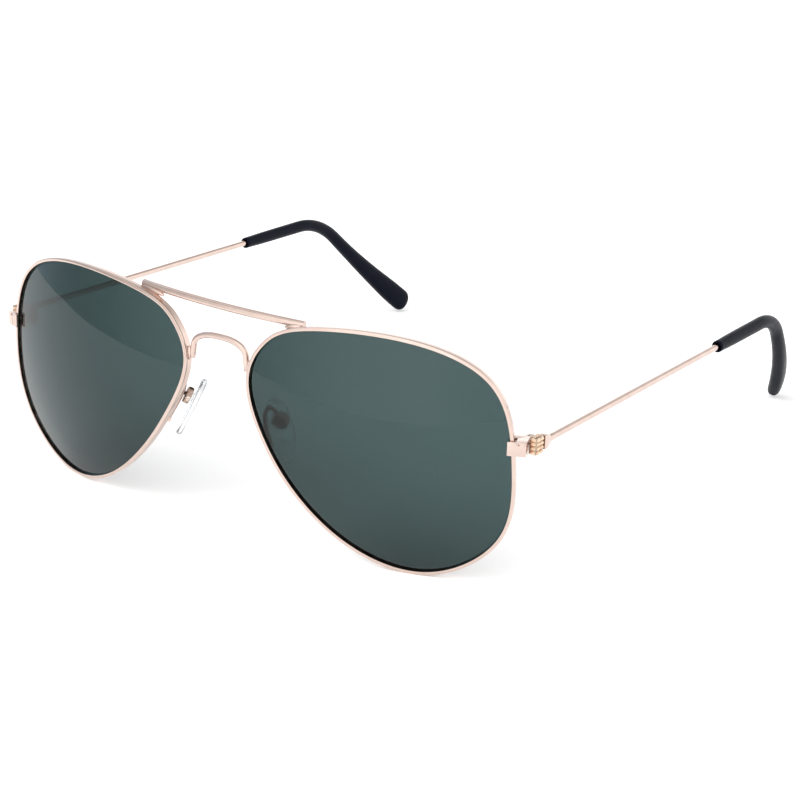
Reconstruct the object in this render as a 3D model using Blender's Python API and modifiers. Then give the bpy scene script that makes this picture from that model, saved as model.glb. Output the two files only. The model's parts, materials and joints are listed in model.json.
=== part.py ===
"""Aviator sunglasses: a wire front with two glazed rims, screw-on nose pads and two folding temples.

The glasses stand open on a table, on the bottoms of their rims and the ends of their temple tips. +X is
towards the wearer's left, the front faces -Y and +Z is up. The origin is under the middle of the whole
object, at table height. Pieces are modelled for the +X side, named _left, and mirrored for _right.
"""

import math

import bmesh
import bpy
import numpy as np
from mathutils import Matrix, Vector

MM = 0.001

# Place of the front in the standing object
LENS_CENTRE_X = 36.45 * MM
LENS_CENTRE_Y = -77.732 * MM
LENS_CENTRE_Z = 24.562 * MM
FACE_WRAP = math.radians(11.2)
FRONT_TILT = math.radians(3.0)

# Lens outline: corners of the control polygon of a closed cubic B-spline, as (outwards, up)
OUTLINE_CORNERS = (
    (28.1, 1.2), (26.0, 18.8), (6.0, 25.2), (-18.5, 22.9), (-24.8, 18.5), (-29.7, 10.2),
    (-23.1, -2.7), (-17.6, -10.3), (-9.2, -18.4), (1.9, -24.2), (14.1, -24.8), (27.8, -14.8),
)
OUTLINE_STEPS = 64
BASE_CURVE_RADIUS = 90.0 * MM

# Rim wire, measured across its section: width in the lens plane, depth from front to back
RIM_WIDTH = 0.72 * MM
RIM_DEPTH = 1.9 * MM
RIM_LIP = 0.25 * MM
RIM_LEAN = 0.5  # share of the lens surface's slope that the rim's depth follows
GROOVE_DEPTH = 0.4 * MM
RIM_SPLIT_HEIGHT = 4.8 * MM
RIM_SPLIT_GAP = 0.3 * MM

LENS_THICKNESS = 1.2 * MM
LENS_IN_GROOVE = 0.28 * MM
LENS_RINGS = (0.4, 0.75)

# Bridge arch and brow bar, both soldered to the rims
BRIDGE_HALF_WIDTH = 6.55 * MM
BRIDGE_FOOT_X = 6.9 * MM
BRIDGE_FOOT_Z = 11.5 * MM
BRIDGE_LEG = 2.1 * MM
BRIDGE_RISE = 3.55 * MM
BRIDGE_SQUARENESS = 2.5
BRIDGE_Y = 0.35 * MM
BRIDGE_RADIUS = 0.65 * MM
BAR_CENTRE_X = -1.45 * MM
BAR_HALF_LENGTH = 20.05 * MM
BAR_Y = 1.5 * MM
BAR_END_Y = 3.0 * MM
BAR_Z = 23.2 * MM
BAR_LEAN = 0.45 * MM  # how far the bar's +X end sits below its middle
BAR_RADIUS = 0.8 * MM

# Endpiece: length outwards from the rim's inner edge, depth back from the rim's front face
END_HEIGHT = 2.8 * MM
END_LENGTH = 3.0 * MM
END_OVERHANG = 0.7 * MM
END_SKIN = 0.5 * MM
END_BACK = 1.9 * MM
END_CLEARANCE = 0.2 * MM
END_RAISE = 0.45 * MM  # above the rim's split
PART_GAP = 0.1 * MM

# Faceted corner post between endpiece and temple
POST_FRONT = 1.6 * MM
POST_SIDE = 2.7 * MM
POST_HEIGHT = 3.5 * MM
POST_ROWS = 4
STUD_HEIGHT = 0.35 * MM
POST_X = 64.85 * MM
POST_Y = 12.15 * MM
POST_Z = 6.0 * MM

# Closing blocks, which clamp the split rim round its lens
BLOCK_WIDTH = 1.7 * MM
BLOCK_DEPTH = 1.9 * MM
BLOCK_HEIGHT = 1.3 * MM

# Temple hinge, three knuckles on a vertical screw
HINGE_X = 63.2 * MM
HINGE_Y = 15.9 * MM
HINGE_Z = 5.2 * MM
KNUCKLE_RADIUS = 1.1 * MM
KNUCKLE_HEIGHT = 0.85 * MM
KNUCKLE_GAP = 0.08 * MM
HINGE_BORE_RADIUS = 0.66 * MM
LEAF_THICKNESS = 0.9 * MM
LEAF_FOOT = 1.2 * MM

SCREW_RADIUS = 0.6 * MM
SCREW_HEAD_RADIUS = 0.95 * MM
SCREW_HEAD_HEIGHT = 0.5 * MM
SCREW_SEAT = 0.03 * MM

# Temple wire and its bend, lengths along the wire from the hinge
TEMPLE_X = 65.9 * MM
TEMPLE_Y = 14.4 * MM
TEMPLE_Z = 6.1 * MM
TEMPLE_DROP = math.radians(0.76)
TEMPLE_TOE_IN = math.radians(0.7)
TEMPLE_STRAIGHT = 103.5 * MM
BEND_RADIUS = 21.0 * MM
BEND_ANGLE = math.radians(42.7)
CURL_START = 101.0 * MM
CURL_RADIUS = 140.0 * MM
TEMPLE_LENGTH = 152.3 * MM
WIRE_RADIUS = 0.7 * MM
WIRE_START = 2.0 * MM
WIRE_IN_TIP = 144.0 * MM
START_BLOCK = (1.5 * MM, 2.6 * MM, 2.9 * MM)
START_BLOCK_Y = 16.6 * MM

# Moulded tip: section half sizes (side to side, top to bottom) at lengths along the wire
TIP_MOUTH = 80.5 * MM
TIP_BORE_RADIUS = 0.8 * MM
BORE_END_GAP = 0.4 * MM
BORE_STEPS = 17
TIP_STEPS = 22
TIP_SECTIONS = (
    (80.5, 1.25, 1.30),
    (88.0, 1.40, 1.45),
    (110.0, 1.45, 1.50),
    (126.0, 1.55, 1.75),
    (138.0, 1.65, 2.35),
    (146.0, 1.70, 2.90),
    (150.0, 1.60, 2.90),
    (152.3, 1.40, 2.45),
)

# Nose pad, its round screw-on box and the wire arm that carries them; depths run back from the pad's middle
PAD_CENTRE = (11.3 * MM, 5.8 * MM, -1.6 * MM)
PAD_SPLAY = math.radians(32.0)
PAD_FLARE = math.radians(25.0)
PAD_LENGTH = 13.2 * MM
PAD_WIDTH = 6.6 * MM
PAD_THICKNESS = 1.4 * MM
PAD_BOSS_RAISE = 1.9 * MM
PAD_BOSS_WIDTH = 1.0 * MM
PAD_BOSS_HEIGHT = 1.6 * MM
PAD_BOSS_END = 1.95 * MM
PAD_AXIS_DEPTH = 1.55 * MM
PAD_BOX_RADIUS = 1.8 * MM
PAD_BOX_FRONT = 0.95 * MM
PAD_BOX_BACK = 2.45 * MM
PAD_SLOT_WIDTH = 1.2 * MM
PAD_SLOT_END = 2.1 * MM
PAD_SCREW_RADIUS = 0.4 * MM
PAD_BORE_RADIUS = 0.46 * MM
ARM_RADIUS = 0.45 * MM
ARM_TURN = 6.1
ARM_LOOP = ((10.95, 1.6, 1.7), (10.8, 2.5, 3.9), (11.4, 3.6, 3.7), (12.2, 4.2, 2.2))

ROUND_STEPS = 12


# ---- Scene, materials and collections ---------------------------------------------------------------

def clear_scene():
    for obj in list(bpy.data.objects):
        bpy.data.objects.remove(obj, do_unlink=True)


def new_collection(name):
    collection = bpy.data.collections.new(name)
    bpy.context.scene.collection.children.link(collection)
    return collection


def new_material(name, colour, roughness, metallic=0.0, alpha=1.0):
    material = bpy.data.materials.new(name)
    material.use_nodes = True
    shader = material.node_tree.nodes["Principled BSDF"]
    shader.inputs["Base Color"].default_value = (*colour, 1.0)
    shader.inputs["Roughness"].default_value = roughness
    shader.inputs["Metallic"].default_value = metallic
    shader.inputs["Alpha"].default_value = alpha
    return material


# ---- Mesh helpers -----------------------------------------------------------------------------------

def add_object(name, bm, material, origin=(0.0, 0.0, 0.0)):
    """An object whose origin is at `origin`, from a bmesh in world coordinates."""
    origin = Vector(origin)
    bmesh.ops.translate(bm, verts=bm.verts, vec=-origin)
    bmesh.ops.recalc_face_normals(bm, faces=bm.faces)
    mesh = bpy.data.meshes.new(name)
    bm.to_mesh(mesh)
    bm.free()
    mesh.shade_smooth()
    mesh.set_sharp_from_angle(angle=math.radians(35.0))
    mesh.materials.append(material)
    obj = bpy.data.objects.new(name, mesh)
    obj.location = origin
    PARTS.objects.link(obj)
    return obj


def add_bevel(obj, width, segments=1):
    bevel = obj.modifiers.new("Bevel", "BEVEL")
    bevel.width = width
    bevel.segments = segments
    bevel.limit_method = "ANGLE"
    bevel.angle_limit = math.radians(40.0)
    return bevel


def freeze(obj):
    """Applies the object's modifiers, and turns a curve into a mesh with its caps welded on."""
    bpy.context.view_layer.update()
    graph = bpy.context.evaluated_depsgraph_get()
    mesh = bpy.data.meshes.new_from_object(obj.evaluated_get(graph))
    bm = bmesh.new()
    bm.from_mesh(mesh)
    bmesh.ops.remove_doubles(bm, verts=bm.verts, dist=1e-7)
    bmesh.ops.recalc_face_normals(bm, faces=bm.faces)
    bm.to_mesh(mesh)
    bm.free()
    name, place = obj.name, obj.matrix_world.copy()
    bpy.data.objects.remove(obj, do_unlink=True)
    mesh.name = name
    frozen = bpy.data.objects.new(name, mesh)
    frozen.matrix_world = place
    PARTS.objects.link(frozen)
    return frozen


def combine(obj, other, operation):
    """Joins `other` to the object, or cuts it away, with an exact Boolean that is applied at once."""
    boolean = obj.modifiers.new(operation.title(), "BOOLEAN")
    boolean.operation = operation
    boolean.solver = "EXACT"
    boolean.object = other
    frozen = freeze(obj)
    if operation == "UNION":
        bpy.data.objects.remove(other, do_unlink=True)
    return frozen


def as_cutter(obj):
    PARTS.objects.unlink(obj)
    CUTTERS.objects.link(obj)
    obj.hide_render = True
    obj.display_type = "WIRE"
    return obj


def mirrored(obj, name):
    """The same piece for the other side of the face."""
    mesh = obj.data.copy()
    mesh.name = name
    mesh.transform(Matrix.Scale(-1.0, 4, Vector((1.0, 0.0, 0.0))))
    mesh.flip_normals()
    twin = bpy.data.objects.new(name, mesh)
    twin.location = obj.location
    twin.location.x = -obj.location.x
    PARTS.objects.link(twin)
    return twin


def axes_matrix(along, across, centre):
    """Places X on `along`, Y on `across` made square to it, and Z on their cross product."""
    x = Vector(along).normalized()
    z = x.cross(Vector(across)).normalized()
    y = z.cross(x)
    matrix = Matrix((x, y, z)).transposed().to_4x4()
    matrix.translation = Vector(centre)
    return matrix


def box_mesh(size, matrix):
    bm = bmesh.new()
    bmesh.ops.create_cube(bm, size=1.0)
    bmesh.ops.scale(bm, vec=size, verts=bm.verts)
    bmesh.ops.transform(bm, matrix=matrix, verts=bm.verts)
    return bm


def cylinder_mesh(radius, length, matrix, steps=ROUND_STEPS):
    """A cylinder centred on the matrix's place, along its Z."""
    bm = bmesh.new()
    bmesh.ops.create_cone(
        bm, cap_ends=True, segments=steps, radius1=radius, radius2=radius, depth=length
    )
    bmesh.ops.transform(bm, matrix=matrix, verts=bm.verts)
    return bm


def wire(name, points, radius, material, origin=(0.0, 0.0, 0.0), sides=2):
    """A round wire along points in world coordinates, as a mesh."""
    curve = bpy.data.curves.new(name, "CURVE")
    curve.dimensions = "3D"
    curve.bevel_depth = radius
    curve.bevel_resolution = sides
    curve.use_fill_caps = True
    spline = curve.splines.new("POLY")
    spline.points.add(len(points) - 1)
    for point, place in zip(spline.points, points):
        point.co = (*(Vector(place) - Vector(origin)), 1.0)
    curve.materials.append(material)
    obj = bpy.data.objects.new(name, curve)
    obj.location = origin
    PARTS.objects.link(obj)
    frozen = freeze(obj)
    frozen.data.shade_smooth()
    return frozen


def loft(rings):
    """Skins rings of equal length and caps the two ends."""
    bm = bmesh.new()
    rows = [[bm.verts.new(point) for point in ring] for ring in rings]
    size = len(rows[0])
    for first, second in zip(rows, rows[1:]):
        for i in range(size):
            j = (i + 1) % size
            bm.faces.new((first[i], first[j], second[j], second[i]))
    bm.faces.new(rows[0])
    bm.faces.new(reversed(rows[-1]))
    return bm


def smooth_path(corners, steps):
    """Points of a Catmull-Rom curve through the corners."""
    ends = [2 * corners[0] - corners[1]] + list(corners) + [2 * corners[-1] - corners[-2]]
    points = []
    for a, b, c, d in zip(ends, ends[1:], ends[2:], ends[3:]):
        for k in range(steps):
            t = k / steps
            points.append(
                0.5 * (2 * b + (c - a) * t + (2 * a - 5 * b + 4 * c - d) * t * t
                       + (3 * b - a - 3 * c + d) * t ** 3)
            )
    points.append(corners[-1])
    return points


# ---- Geometry of the front --------------------------------------------------------------------------

def front_to_world(x, y, z):
    """A point given from the middle of the front at lens height, without the front's tilt."""
    return Vector((x, LENS_CENTRE_Y + y, LENS_CENTRE_Z + z))


def lens_to_world(u, v, w):
    """Lens axes to world: u outwards, v up and w back from the foremost point of the lens."""
    turned = Matrix.Rotation(FACE_WRAP, 3, "Z") @ Vector((u, w, v))
    turned.x += LENS_CENTRE_X
    tilted = Matrix.Rotation(FRONT_TILT, 3, "X") @ turned
    return front_to_world(*tilted)


def outline_point(turn):
    """Point of the closed B-spline at `turn`, counted in control corners."""
    corners = len(OUTLINE_CORNERS)
    first = math.floor(turn)
    f = turn - first
    weights = (
        (1 - f) ** 3 / 6,
        (3 * f ** 3 - 6 * f ** 2 + 4) / 6,
        (-3 * f ** 3 + 3 * f ** 2 + 3 * f + 1) / 6,
        f ** 3 / 6,
    )
    u = sum(w * OUTLINE_CORNERS[(first + k - 1) % corners][0] for k, w in enumerate(weights))
    v = sum(w * OUTLINE_CORNERS[(first + k - 1) % corners][1] for k, w in enumerate(weights))
    return u * MM, v * MM


def split_turn():
    """The turn at which the outline passes the height where the rim is split."""
    low, high = 0.0, 1.0
    for _ in range(40):
        middle = (low + high) / 2
        if outline_point(middle)[1] < RIM_SPLIT_HEIGHT:
            low = middle
        else:
            high = middle
    return low


def outline_turns():
    """Turns evenly spaced along the outline's length, starting at the split."""
    start = split_turn()
    fine = np.linspace(start, start + len(OUTLINE_CORNERS), 1441)
    places = np.array([outline_point(turn) for turn in fine])
    lengths = np.concatenate([[0.0], np.cumsum(np.linalg.norm(np.diff(places, axis=0), axis=1))])
    even = np.linspace(0.0, lengths[-1], OUTLINE_STEPS + 1)
    return np.interp(even, lengths, fine), lengths[-1]


def edge_frame(turn):
    """Lens edge at a turn: the point on the front surface, the way out across the rim, and the way back."""
    u, v = outline_point(turn)
    ahead_u, ahead_v = outline_point(turn + 0.01)
    sphere_centre = Vector((0.0, 0.0, BASE_CURVE_RADIUS))
    w = BASE_CURVE_RADIUS - math.sqrt(BASE_CURVE_RADIUS ** 2 - u * u - v * v)
    point = Vector((u, v, w))
    back = (sphere_centre - point).normalized().lerp(Vector((0.0, 0.0, 1.0)), 1.0 - RIM_LEAN)
    back.normalize()
    along = Vector((ahead_u - u, ahead_v - v, 0.0))
    outward = along.cross(Vector((0.0, 0.0, 1.0)))
    outward = (outward - back * outward.dot(back)).normalized()
    return point, outward, back


def edge_to_world(frame, across, depth):
    point, outward, back = frame
    place = point + outward * across + back * depth
    return lens_to_world(place.x, place.y, place.z)


def section_ring(frame, section):
    return [edge_to_world(frame, across, depth) for across, depth in section]


# ---- Front pieces -----------------------------------------------------------------------------------

def make_rim():
    turns, length = outline_turns()
    half_gap = RIM_SPLIT_GAP / 2 * len(OUTLINE_CORNERS) / length
    turns[0] += half_gap
    turns[-1] -= half_gap
    section = (
        (0.0, 0.0),
        (RIM_WIDTH, 0.0),
        (RIM_WIDTH, RIM_DEPTH),
        (0.0, RIM_DEPTH),
        (0.0, RIM_DEPTH - RIM_LIP),
        (GROOVE_DEPTH, RIM_DEPTH - RIM_LIP),
        (GROOVE_DEPTH, RIM_LIP),
        (0.0, RIM_LIP),
    )
    rings = [section_ring(edge_frame(turn), section) for turn in turns]
    return add_object("rim_left", loft(rings), METAL)


def make_lens():
    """An open spherical sheet over the outline, given its thickness by Solidify."""
    turns = outline_turns()[0][:-1]
    front = (RIM_DEPTH - LENS_THICKNESS) / 2
    bm = bmesh.new()
    rings = []
    for fraction in LENS_RINGS:
        ring = []
        for turn in turns:
            u, v = (fraction * value for value in outline_point(turn))
            w = BASE_CURVE_RADIUS - math.sqrt(BASE_CURVE_RADIUS ** 2 - u * u - v * v)
            ring.append(bm.verts.new(lens_to_world(u, v, w + front)))
        rings.append(ring)
    edge = [bm.verts.new(edge_to_world(edge_frame(turn), LENS_IN_GROOVE, front)) for turn in turns]
    rings.append(edge)
    centre = bm.verts.new(lens_to_world(0.0, 0.0, front))
    for i in range(len(turns)):
        j = (i + 1) % len(turns)
        bm.faces.new((centre, rings[0][i], rings[0][j]))
        for inner, outer in zip(rings, rings[1:]):
            bm.faces.new((inner[i], outer[i], outer[j], inner[j]))
    bmesh.ops.recalc_face_normals(bm, faces=bm.faces)
    lens = add_object("lens_left", bm, LENS)
    front_normal = lens_to_world(0.0, 0.0, 0.0) - lens_to_world(0.0, 0.0, 1.0)
    solidify = lens.modifiers.new("Thickness", "SOLIDIFY")
    solidify.thickness = LENS_THICKNESS
    solidify.use_even_offset = True
    solidify.offset = -1.0 if lens.data.polygons[0].normal.dot(front_normal) > 0 else 1.0
    return freeze(lens)


def make_bridge():
    """Wire arch: two short upright legs and a squarish crown."""
    crown = []
    for k in range(19):
        angle = math.pi * k / 18
        x = math.copysign(abs(math.cos(angle)) ** (2 / BRIDGE_SQUARENESS), -math.cos(angle))
        rise = math.sin(angle) ** (2 / BRIDGE_SQUARENESS)
        crown.append((BRIDGE_HALF_WIDTH * x, BRIDGE_FOOT_Z + BRIDGE_LEG + BRIDGE_RISE * rise))
    path = [(-BRIDGE_FOOT_X, BRIDGE_FOOT_Z)] + crown + [(BRIDGE_FOOT_X, BRIDGE_FOOT_Z)]
    points = [front_to_world(x, BRIDGE_Y, z) for x, z in path]
    return wire("bridge", points, BRIDGE_RADIUS, METAL)


def make_brow_bar():
    points = []
    for k in range(-6, 7):
        share = k / 6
        x = BAR_CENTRE_X + BAR_HALF_LENGTH * share
        y = BAR_Y + (BAR_END_Y - BAR_Y) * share * share
        points.append(front_to_world(x, y, BAR_Z - BAR_LEAN * share))
    bar = wire("brow_bar", points, BAR_RADIUS, METAL)
    add_bevel(bar, 0.15 * MM)
    return bar


def end_frame():
    """Matrix at the rim's split, kept level: X outwards across the rim, Y back through it, Z up."""
    frame = edge_frame(split_turn())
    start = edge_to_world(frame, 0.0, 0.0)
    outward = edge_to_world(frame, 1.0, 0.0) - start
    back = edge_to_world(frame, 0.0, 1.0) - start
    outward.z = 0.0
    back.z = 0.0
    return axes_matrix(outward, back, start)


def make_endpiece():
    """Block beside the rim, with a thin skin that laps over the rim's front face."""
    outline = (
        (-END_OVERHANG, -PART_GAP),
        (-END_OVERHANG, -PART_GAP - END_SKIN),
        (END_LENGTH, -PART_GAP - END_SKIN),
        (END_LENGTH, END_BACK),
        (RIM_WIDTH + END_CLEARANCE, END_BACK),
        (RIM_WIDTH + END_CLEARANCE, -PART_GAP),
    )
    place = end_frame()
    rings = [
        [place @ Vector((x, y, END_RAISE + z)) for x, y in outline]
        for z in (-END_HEIGHT / 2, END_HEIGHT / 2)
    ]
    endpiece = add_object("endpiece_left", loft(rings), METAL)
    add_bevel(endpiece, 0.12 * MM)
    return freeze(endpiece)


def make_corner_ornament():
    """Square post whose front and outer faces are cut into a column of pyramid studs each."""
    bm = bmesh.new()
    bmesh.ops.create_cube(bm, size=1.0)
    bmesh.ops.scale(bm, vec=(POST_FRONT, POST_SIDE, POST_HEIGHT), verts=bm.verts)
    for row in range(1, POST_ROWS):
        height = POST_HEIGHT * (row / POST_ROWS - 0.5)
        everything = list(bm.verts) + list(bm.edges) + list(bm.faces)
        bmesh.ops.bisect_plane(bm, geom=everything, plane_co=(0, 0, height), plane_no=(0, 0, 1))
    studded = [face for face in bm.faces if face.normal.y < -0.9 or face.normal.x > 0.9]
    bmesh.ops.poke(bm, faces=studded, offset=STUD_HEIGHT)
    centre = front_to_world(POST_X + POST_FRONT / 2, POST_Y + POST_SIDE / 2, POST_Z)
    bmesh.ops.translate(bm, verts=bm.verts, vec=centre)
    return add_object("corner_ornament_left", bm, ORNAMENT)


def screw_mesh(radius, head_radius, head_height, length, matrix):
    """Headed screw along the matrix's Z: the head sits on Z = 0 and the shank runs down from it."""
    profile = (
        (0.0, head_height),
        (0.75 * head_radius, head_height),
        (head_radius, 0.6 * head_height),
        (head_radius, 0.0),
        (radius, 0.0),
        (radius, radius / 2 - length),
        (radius / 2, -length),
        (0.0, -length),
    )
    bm = bmesh.new()
    verts = [bm.verts.new((x, 0.0, z)) for x, z in profile]
    edges = [bm.edges.new(pair) for pair in zip(verts, verts[1:])]
    bmesh.ops.spin(
        bm, geom=verts + edges, axis=(0, 0, 1), cent=(0, 0, 0), angle=math.tau, steps=ROUND_STEPS,
        use_merge=True,
    )
    bmesh.ops.remove_doubles(bm, verts=bm.verts, dist=1e-7)
    bmesh.ops.transform(bm, matrix=matrix, verts=bm.verts)
    return bm


def add_slotted_screw(name, radius, head_radius, head_height, length, matrix):
    screw = add_object(name, screw_mesh(radius, head_radius, head_height, length, matrix), SCREW)
    slot_size = (3 * head_radius, 0.35 * head_radius, head_height)
    slot_place = matrix @ Matrix.Translation((0.0, 0.0, head_height))
    slot = as_cutter(add_object(f"{name}_slot", box_mesh(slot_size, slot_place), SCREW))
    return combine(screw, slot, "DIFFERENCE")


def make_closing_blocks():
    """Two blocks on the rim's back, above and below the split, with the screw that draws them together."""
    place = end_frame()
    middle = Vector((BLOCK_WIDTH / 2, RIM_DEPTH + PART_GAP + BLOCK_DEPTH / 2, 0.0))
    bore_length = 4 * BLOCK_HEIGHT
    made = []
    for name, way in (("closing_block_upper_left", 1), ("closing_block_lower_left", -1)):
        offset = Vector((0.0, 0.0, way * (BLOCK_HEIGHT + RIM_SPLIT_GAP) / 2))
        matrix = place @ Matrix.Translation(middle + offset)
        size = (BLOCK_WIDTH, BLOCK_DEPTH, BLOCK_HEIGHT)
        block = add_object(name, box_mesh(size, matrix), METAL)
        add_bevel(block, 0.15 * MM)
        bore_place = place @ Matrix.Translation(middle)
        bore_mesh = cylinder_mesh(HINGE_BORE_RADIUS, bore_length, bore_place)
        bore = as_cutter(add_object(f"{name}_bore", bore_mesh, METAL))
        made.append(combine(freeze(block), bore, "DIFFERENCE"))
    underside = BLOCK_HEIGHT + RIM_SPLIT_GAP / 2 + SCREW_SEAT
    upwards = Matrix.Rotation(math.pi, 4, "X")
    seat = place @ Matrix.Translation(middle - Vector((0.0, 0.0, underside))) @ upwards
    made.append(
        add_slotted_screw(
            "closing_screw_left", SCREW_RADIUS, SCREW_HEAD_RADIUS, SCREW_HEAD_HEIGHT, 2 * underside, seat
        )
    )
    return made


# ---- Temple hinge -----------------------------------------------------------------------------------

def hinge_point():
    return front_to_world(HINGE_X, HINGE_Y, HINGE_Z)


def knuckle(name, level):
    """One knuckle of the hinge: level 0 is the middle one, 1 the upper and -1 the lower."""
    centre = hinge_point() + Vector((0, 0, level * (KNUCKLE_HEIGHT + KNUCKLE_GAP)))
    mesh = cylinder_mesh(KNUCKLE_RADIUS, KNUCKLE_HEIGHT, Matrix.Translation(centre), 16)
    return add_object(name, mesh, METAL)


def bored(obj):
    place = Matrix.Translation(hinge_point())
    bore_mesh = cylinder_mesh(HINGE_BORE_RADIUS, 10 * MM, place)
    bore = as_cutter(add_object(f"{obj.name}_bore", bore_mesh, METAL))
    return combine(obj, bore, "DIFFERENCE")


def make_front_hinge():
    """Upright leaf behind the endpiece, with the upper and lower knuckles on its rear edge."""
    place = end_frame()
    axis = hinge_point()
    foot = [place @ Vector((x, END_BACK + PART_GAP, 0.0)) for x in (END_LENGTH - LEAF_FOOT, END_LENGTH)]
    root = [axis + Vector((x, 0.0, 0.0)) for x in (0.5 * LEAF_THICKNESS, -0.5 * LEAF_THICKNESS)]
    half_height = 1.5 * KNUCKLE_HEIGHT + KNUCKLE_GAP
    rings = [
        [Vector((point.x, point.y, axis.z + z)) for point in foot + root]
        for z in (-half_height, half_height)
    ]
    leaf = add_object("front_hinge_left", loft(rings), METAL)
    for level in (1, -1):
        leaf = combine(leaf, knuckle(f"front_knuckle{level}", level), "UNION")
    room = Vector((4 * KNUCKLE_RADIUS, 2 * KNUCKLE_RADIUS + 0.5 * MM, KNUCKLE_HEIGHT + 2 * KNUCKLE_GAP))
    notch_mesh = box_mesh(room, Matrix.Translation(hinge_point()))
    notch = as_cutter(add_object("front_hinge_notch", notch_mesh, METAL))
    leaf = combine(leaf, notch, "DIFFERENCE")
    return bored(leaf)


def make_temple_hinge():
    """Middle knuckle with a short tongue that reaches the temple's start block."""
    tongue_end = TEMPLE_X - START_BLOCK[0] / 2 - PART_GAP
    length = tongue_end - HINGE_X
    height = KNUCKLE_HEIGHT
    centre = hinge_point() + Vector((length / 2, KNUCKLE_RADIUS - LEAF_THICKNESS / 2, 0.0))
    tongue_mesh = box_mesh((length, LEAF_THICKNESS, height), Matrix.Translation(centre))
    tongue = add_object("temple_hinge_left", tongue_mesh, METAL)
    joined = combine(tongue, knuckle("temple_knuckle", 0), "UNION")
    moved = bored(joined)
    moved.data.transform(Matrix.Translation(moved.location - hinge_point()))
    moved.location = hinge_point()
    return moved


def make_hinge_screw():
    """Screw up through the three knuckles, its head underneath."""
    underside = 1.5 * KNUCKLE_HEIGHT + KNUCKLE_GAP + SCREW_SEAT
    seat = Matrix.Translation(hinge_point() - Vector((0.0, 0.0, underside)))
    seat = seat @ Matrix.Rotation(math.pi, 4, "X")
    return add_slotted_screw(
        "hinge_screw_left", SCREW_RADIUS, SCREW_HEAD_RADIUS, SCREW_HEAD_HEIGHT, 2 * underside, seat
    )


# ---- Temple and tip ---------------------------------------------------------------------------------

def temple_path(step=1.0 * MM):
    """Stations (length, point, direction) along the temple's centre line, from the hinge to the end."""
    point = front_to_world(TEMPLE_X, TEMPLE_Y, TEMPLE_Z)
    stations = []
    count = round(TEMPLE_LENGTH / step)
    for k in range(count + 1):
        s = k * step
        bend = min(max(s - TEMPLE_STRAIGHT, 0.0) / BEND_RADIUS, BEND_ANGLE)
        curl = TEMPLE_TOE_IN + max(s - CURL_START, 0.0) / CURL_RADIUS
        pitch = TEMPLE_DROP + bend
        level = math.cos(curl)
        direction = Vector((-math.sin(curl), level * math.cos(pitch), -level * math.sin(pitch)))
        stations.append((s, point.copy(), direction))
        point += direction * step
    return stations


def path_at(lengths):
    """Points and directions of the temple's centre line at the given lengths."""
    stations = temple_path()
    s = np.array([station[0] for station in stations])
    places = np.array([station[1] for station in stations])
    ways = np.array([station[2] for station in stations])
    found = []
    for length in lengths:
        place = Vector([np.interp(length, s, places[:, axis]) for axis in range(3)])
        way = Vector([np.interp(length, s, ways[:, axis]) for axis in range(3)]).normalized()
        found.append((place, way))
    return found


def bore_lengths():
    """Lengths at which both the wire and its bore in the tip have a corner."""
    return [TIP_MOUTH + k * (WIRE_IN_TIP - TIP_MOUTH) / BORE_STEPS for k in range(BORE_STEPS + 1)]


def make_temple():
    """Start block at the hinge, and the wire that runs from it into the tip."""
    lengths = [WIRE_START, TIP_MOUTH / 2] + bore_lengths()
    points = [place for place, _ in path_at(lengths)]
    temple = wire("temple_left", points, WIRE_RADIUS, METAL, origin=hinge_point())
    centre = front_to_world(TEMPLE_X, START_BLOCK_Y, TEMPLE_Z)
    block_mesh = box_mesh(START_BLOCK, Matrix.Translation(centre))
    rear = [vert for vert in block_mesh.verts if vert.co.y > centre.y]
    bmesh.ops.scale(
        block_mesh, vec=(1.0, 1.0, 0.55), verts=rear, space=Matrix.Translation(-centre)
    )
    block = add_object("temple_start", block_mesh, METAL)
    add_bevel(block, 0.15 * MM)
    return combine(temple, freeze(block), "UNION")


def tip_half_sizes(length):
    table = np.array(TIP_SECTIONS) * MM
    return tuple(np.interp(length, table[:, 0], table[:, column]) for column in (1, 2))


def tip_ring(place, way, half_side, half_height, sides=12):
    """Elliptical ring square to the path, its long side in the temple's own plane."""
    side = way.cross(Vector((0.0, 0.0, 1.0))).normalized()
    up = side.cross(way)
    ring = []
    for k in range(sides):
        angle = math.tau * k / sides
        ring.append(place + side * half_side * math.cos(angle) + up * half_height * math.sin(angle))
    return ring


def make_temple_tip():
    """Moulded sleeve with a blind bore for the wire, flaring to a flat paddle with a round end."""
    outer = [TIP_MOUTH + k * (TEMPLE_LENGTH - TIP_MOUTH) / TIP_STEPS for k in range(TIP_STEPS + 1)]
    inner = [WIRE_IN_TIP + BORE_END_GAP] + bore_lengths()[::-1]
    rings = [tip_ring(place, way, *tip_half_sizes(s)) for s, (place, way) in zip(outer, path_at(outer))]
    end_place, end_way = path_at([TEMPLE_LENGTH])[0]
    end_side, end_height = tip_half_sizes(TEMPLE_LENGTH)
    for degrees in (35, 65):
        lean = math.radians(degrees)
        place = end_place + end_way * end_height * 0.55 * math.sin(lean)
        rings.append(tip_ring(place, end_way, end_side * math.cos(lean), end_height * math.cos(lean)))
    bore = [
        tip_ring(place, way, TIP_BORE_RADIUS, TIP_BORE_RADIUS) for place, way in path_at(inner)
    ]
    bm = loft(bore + rings)
    return add_object("temple_tip_left", bm, RUBBER, origin=hinge_point())


# ---- Nose pads --------------------------------------------------------------------------------------

def pad_matrix():
    """Pad axes: X forwards along its width, Y up its length, Z out of the face that meets the nose."""
    toward_nose = Vector((
        -math.cos(PAD_SPLAY) * math.cos(PAD_FLARE),
        math.sin(PAD_SPLAY) * math.cos(PAD_FLARE),
        -math.sin(PAD_FLARE),
    ))
    width = Vector((-math.sin(PAD_SPLAY), -math.cos(PAD_SPLAY), 0.0))
    up = toward_nose.cross(width)
    return axes_matrix(width, up, front_to_world(*PAD_CENTRE))


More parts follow.
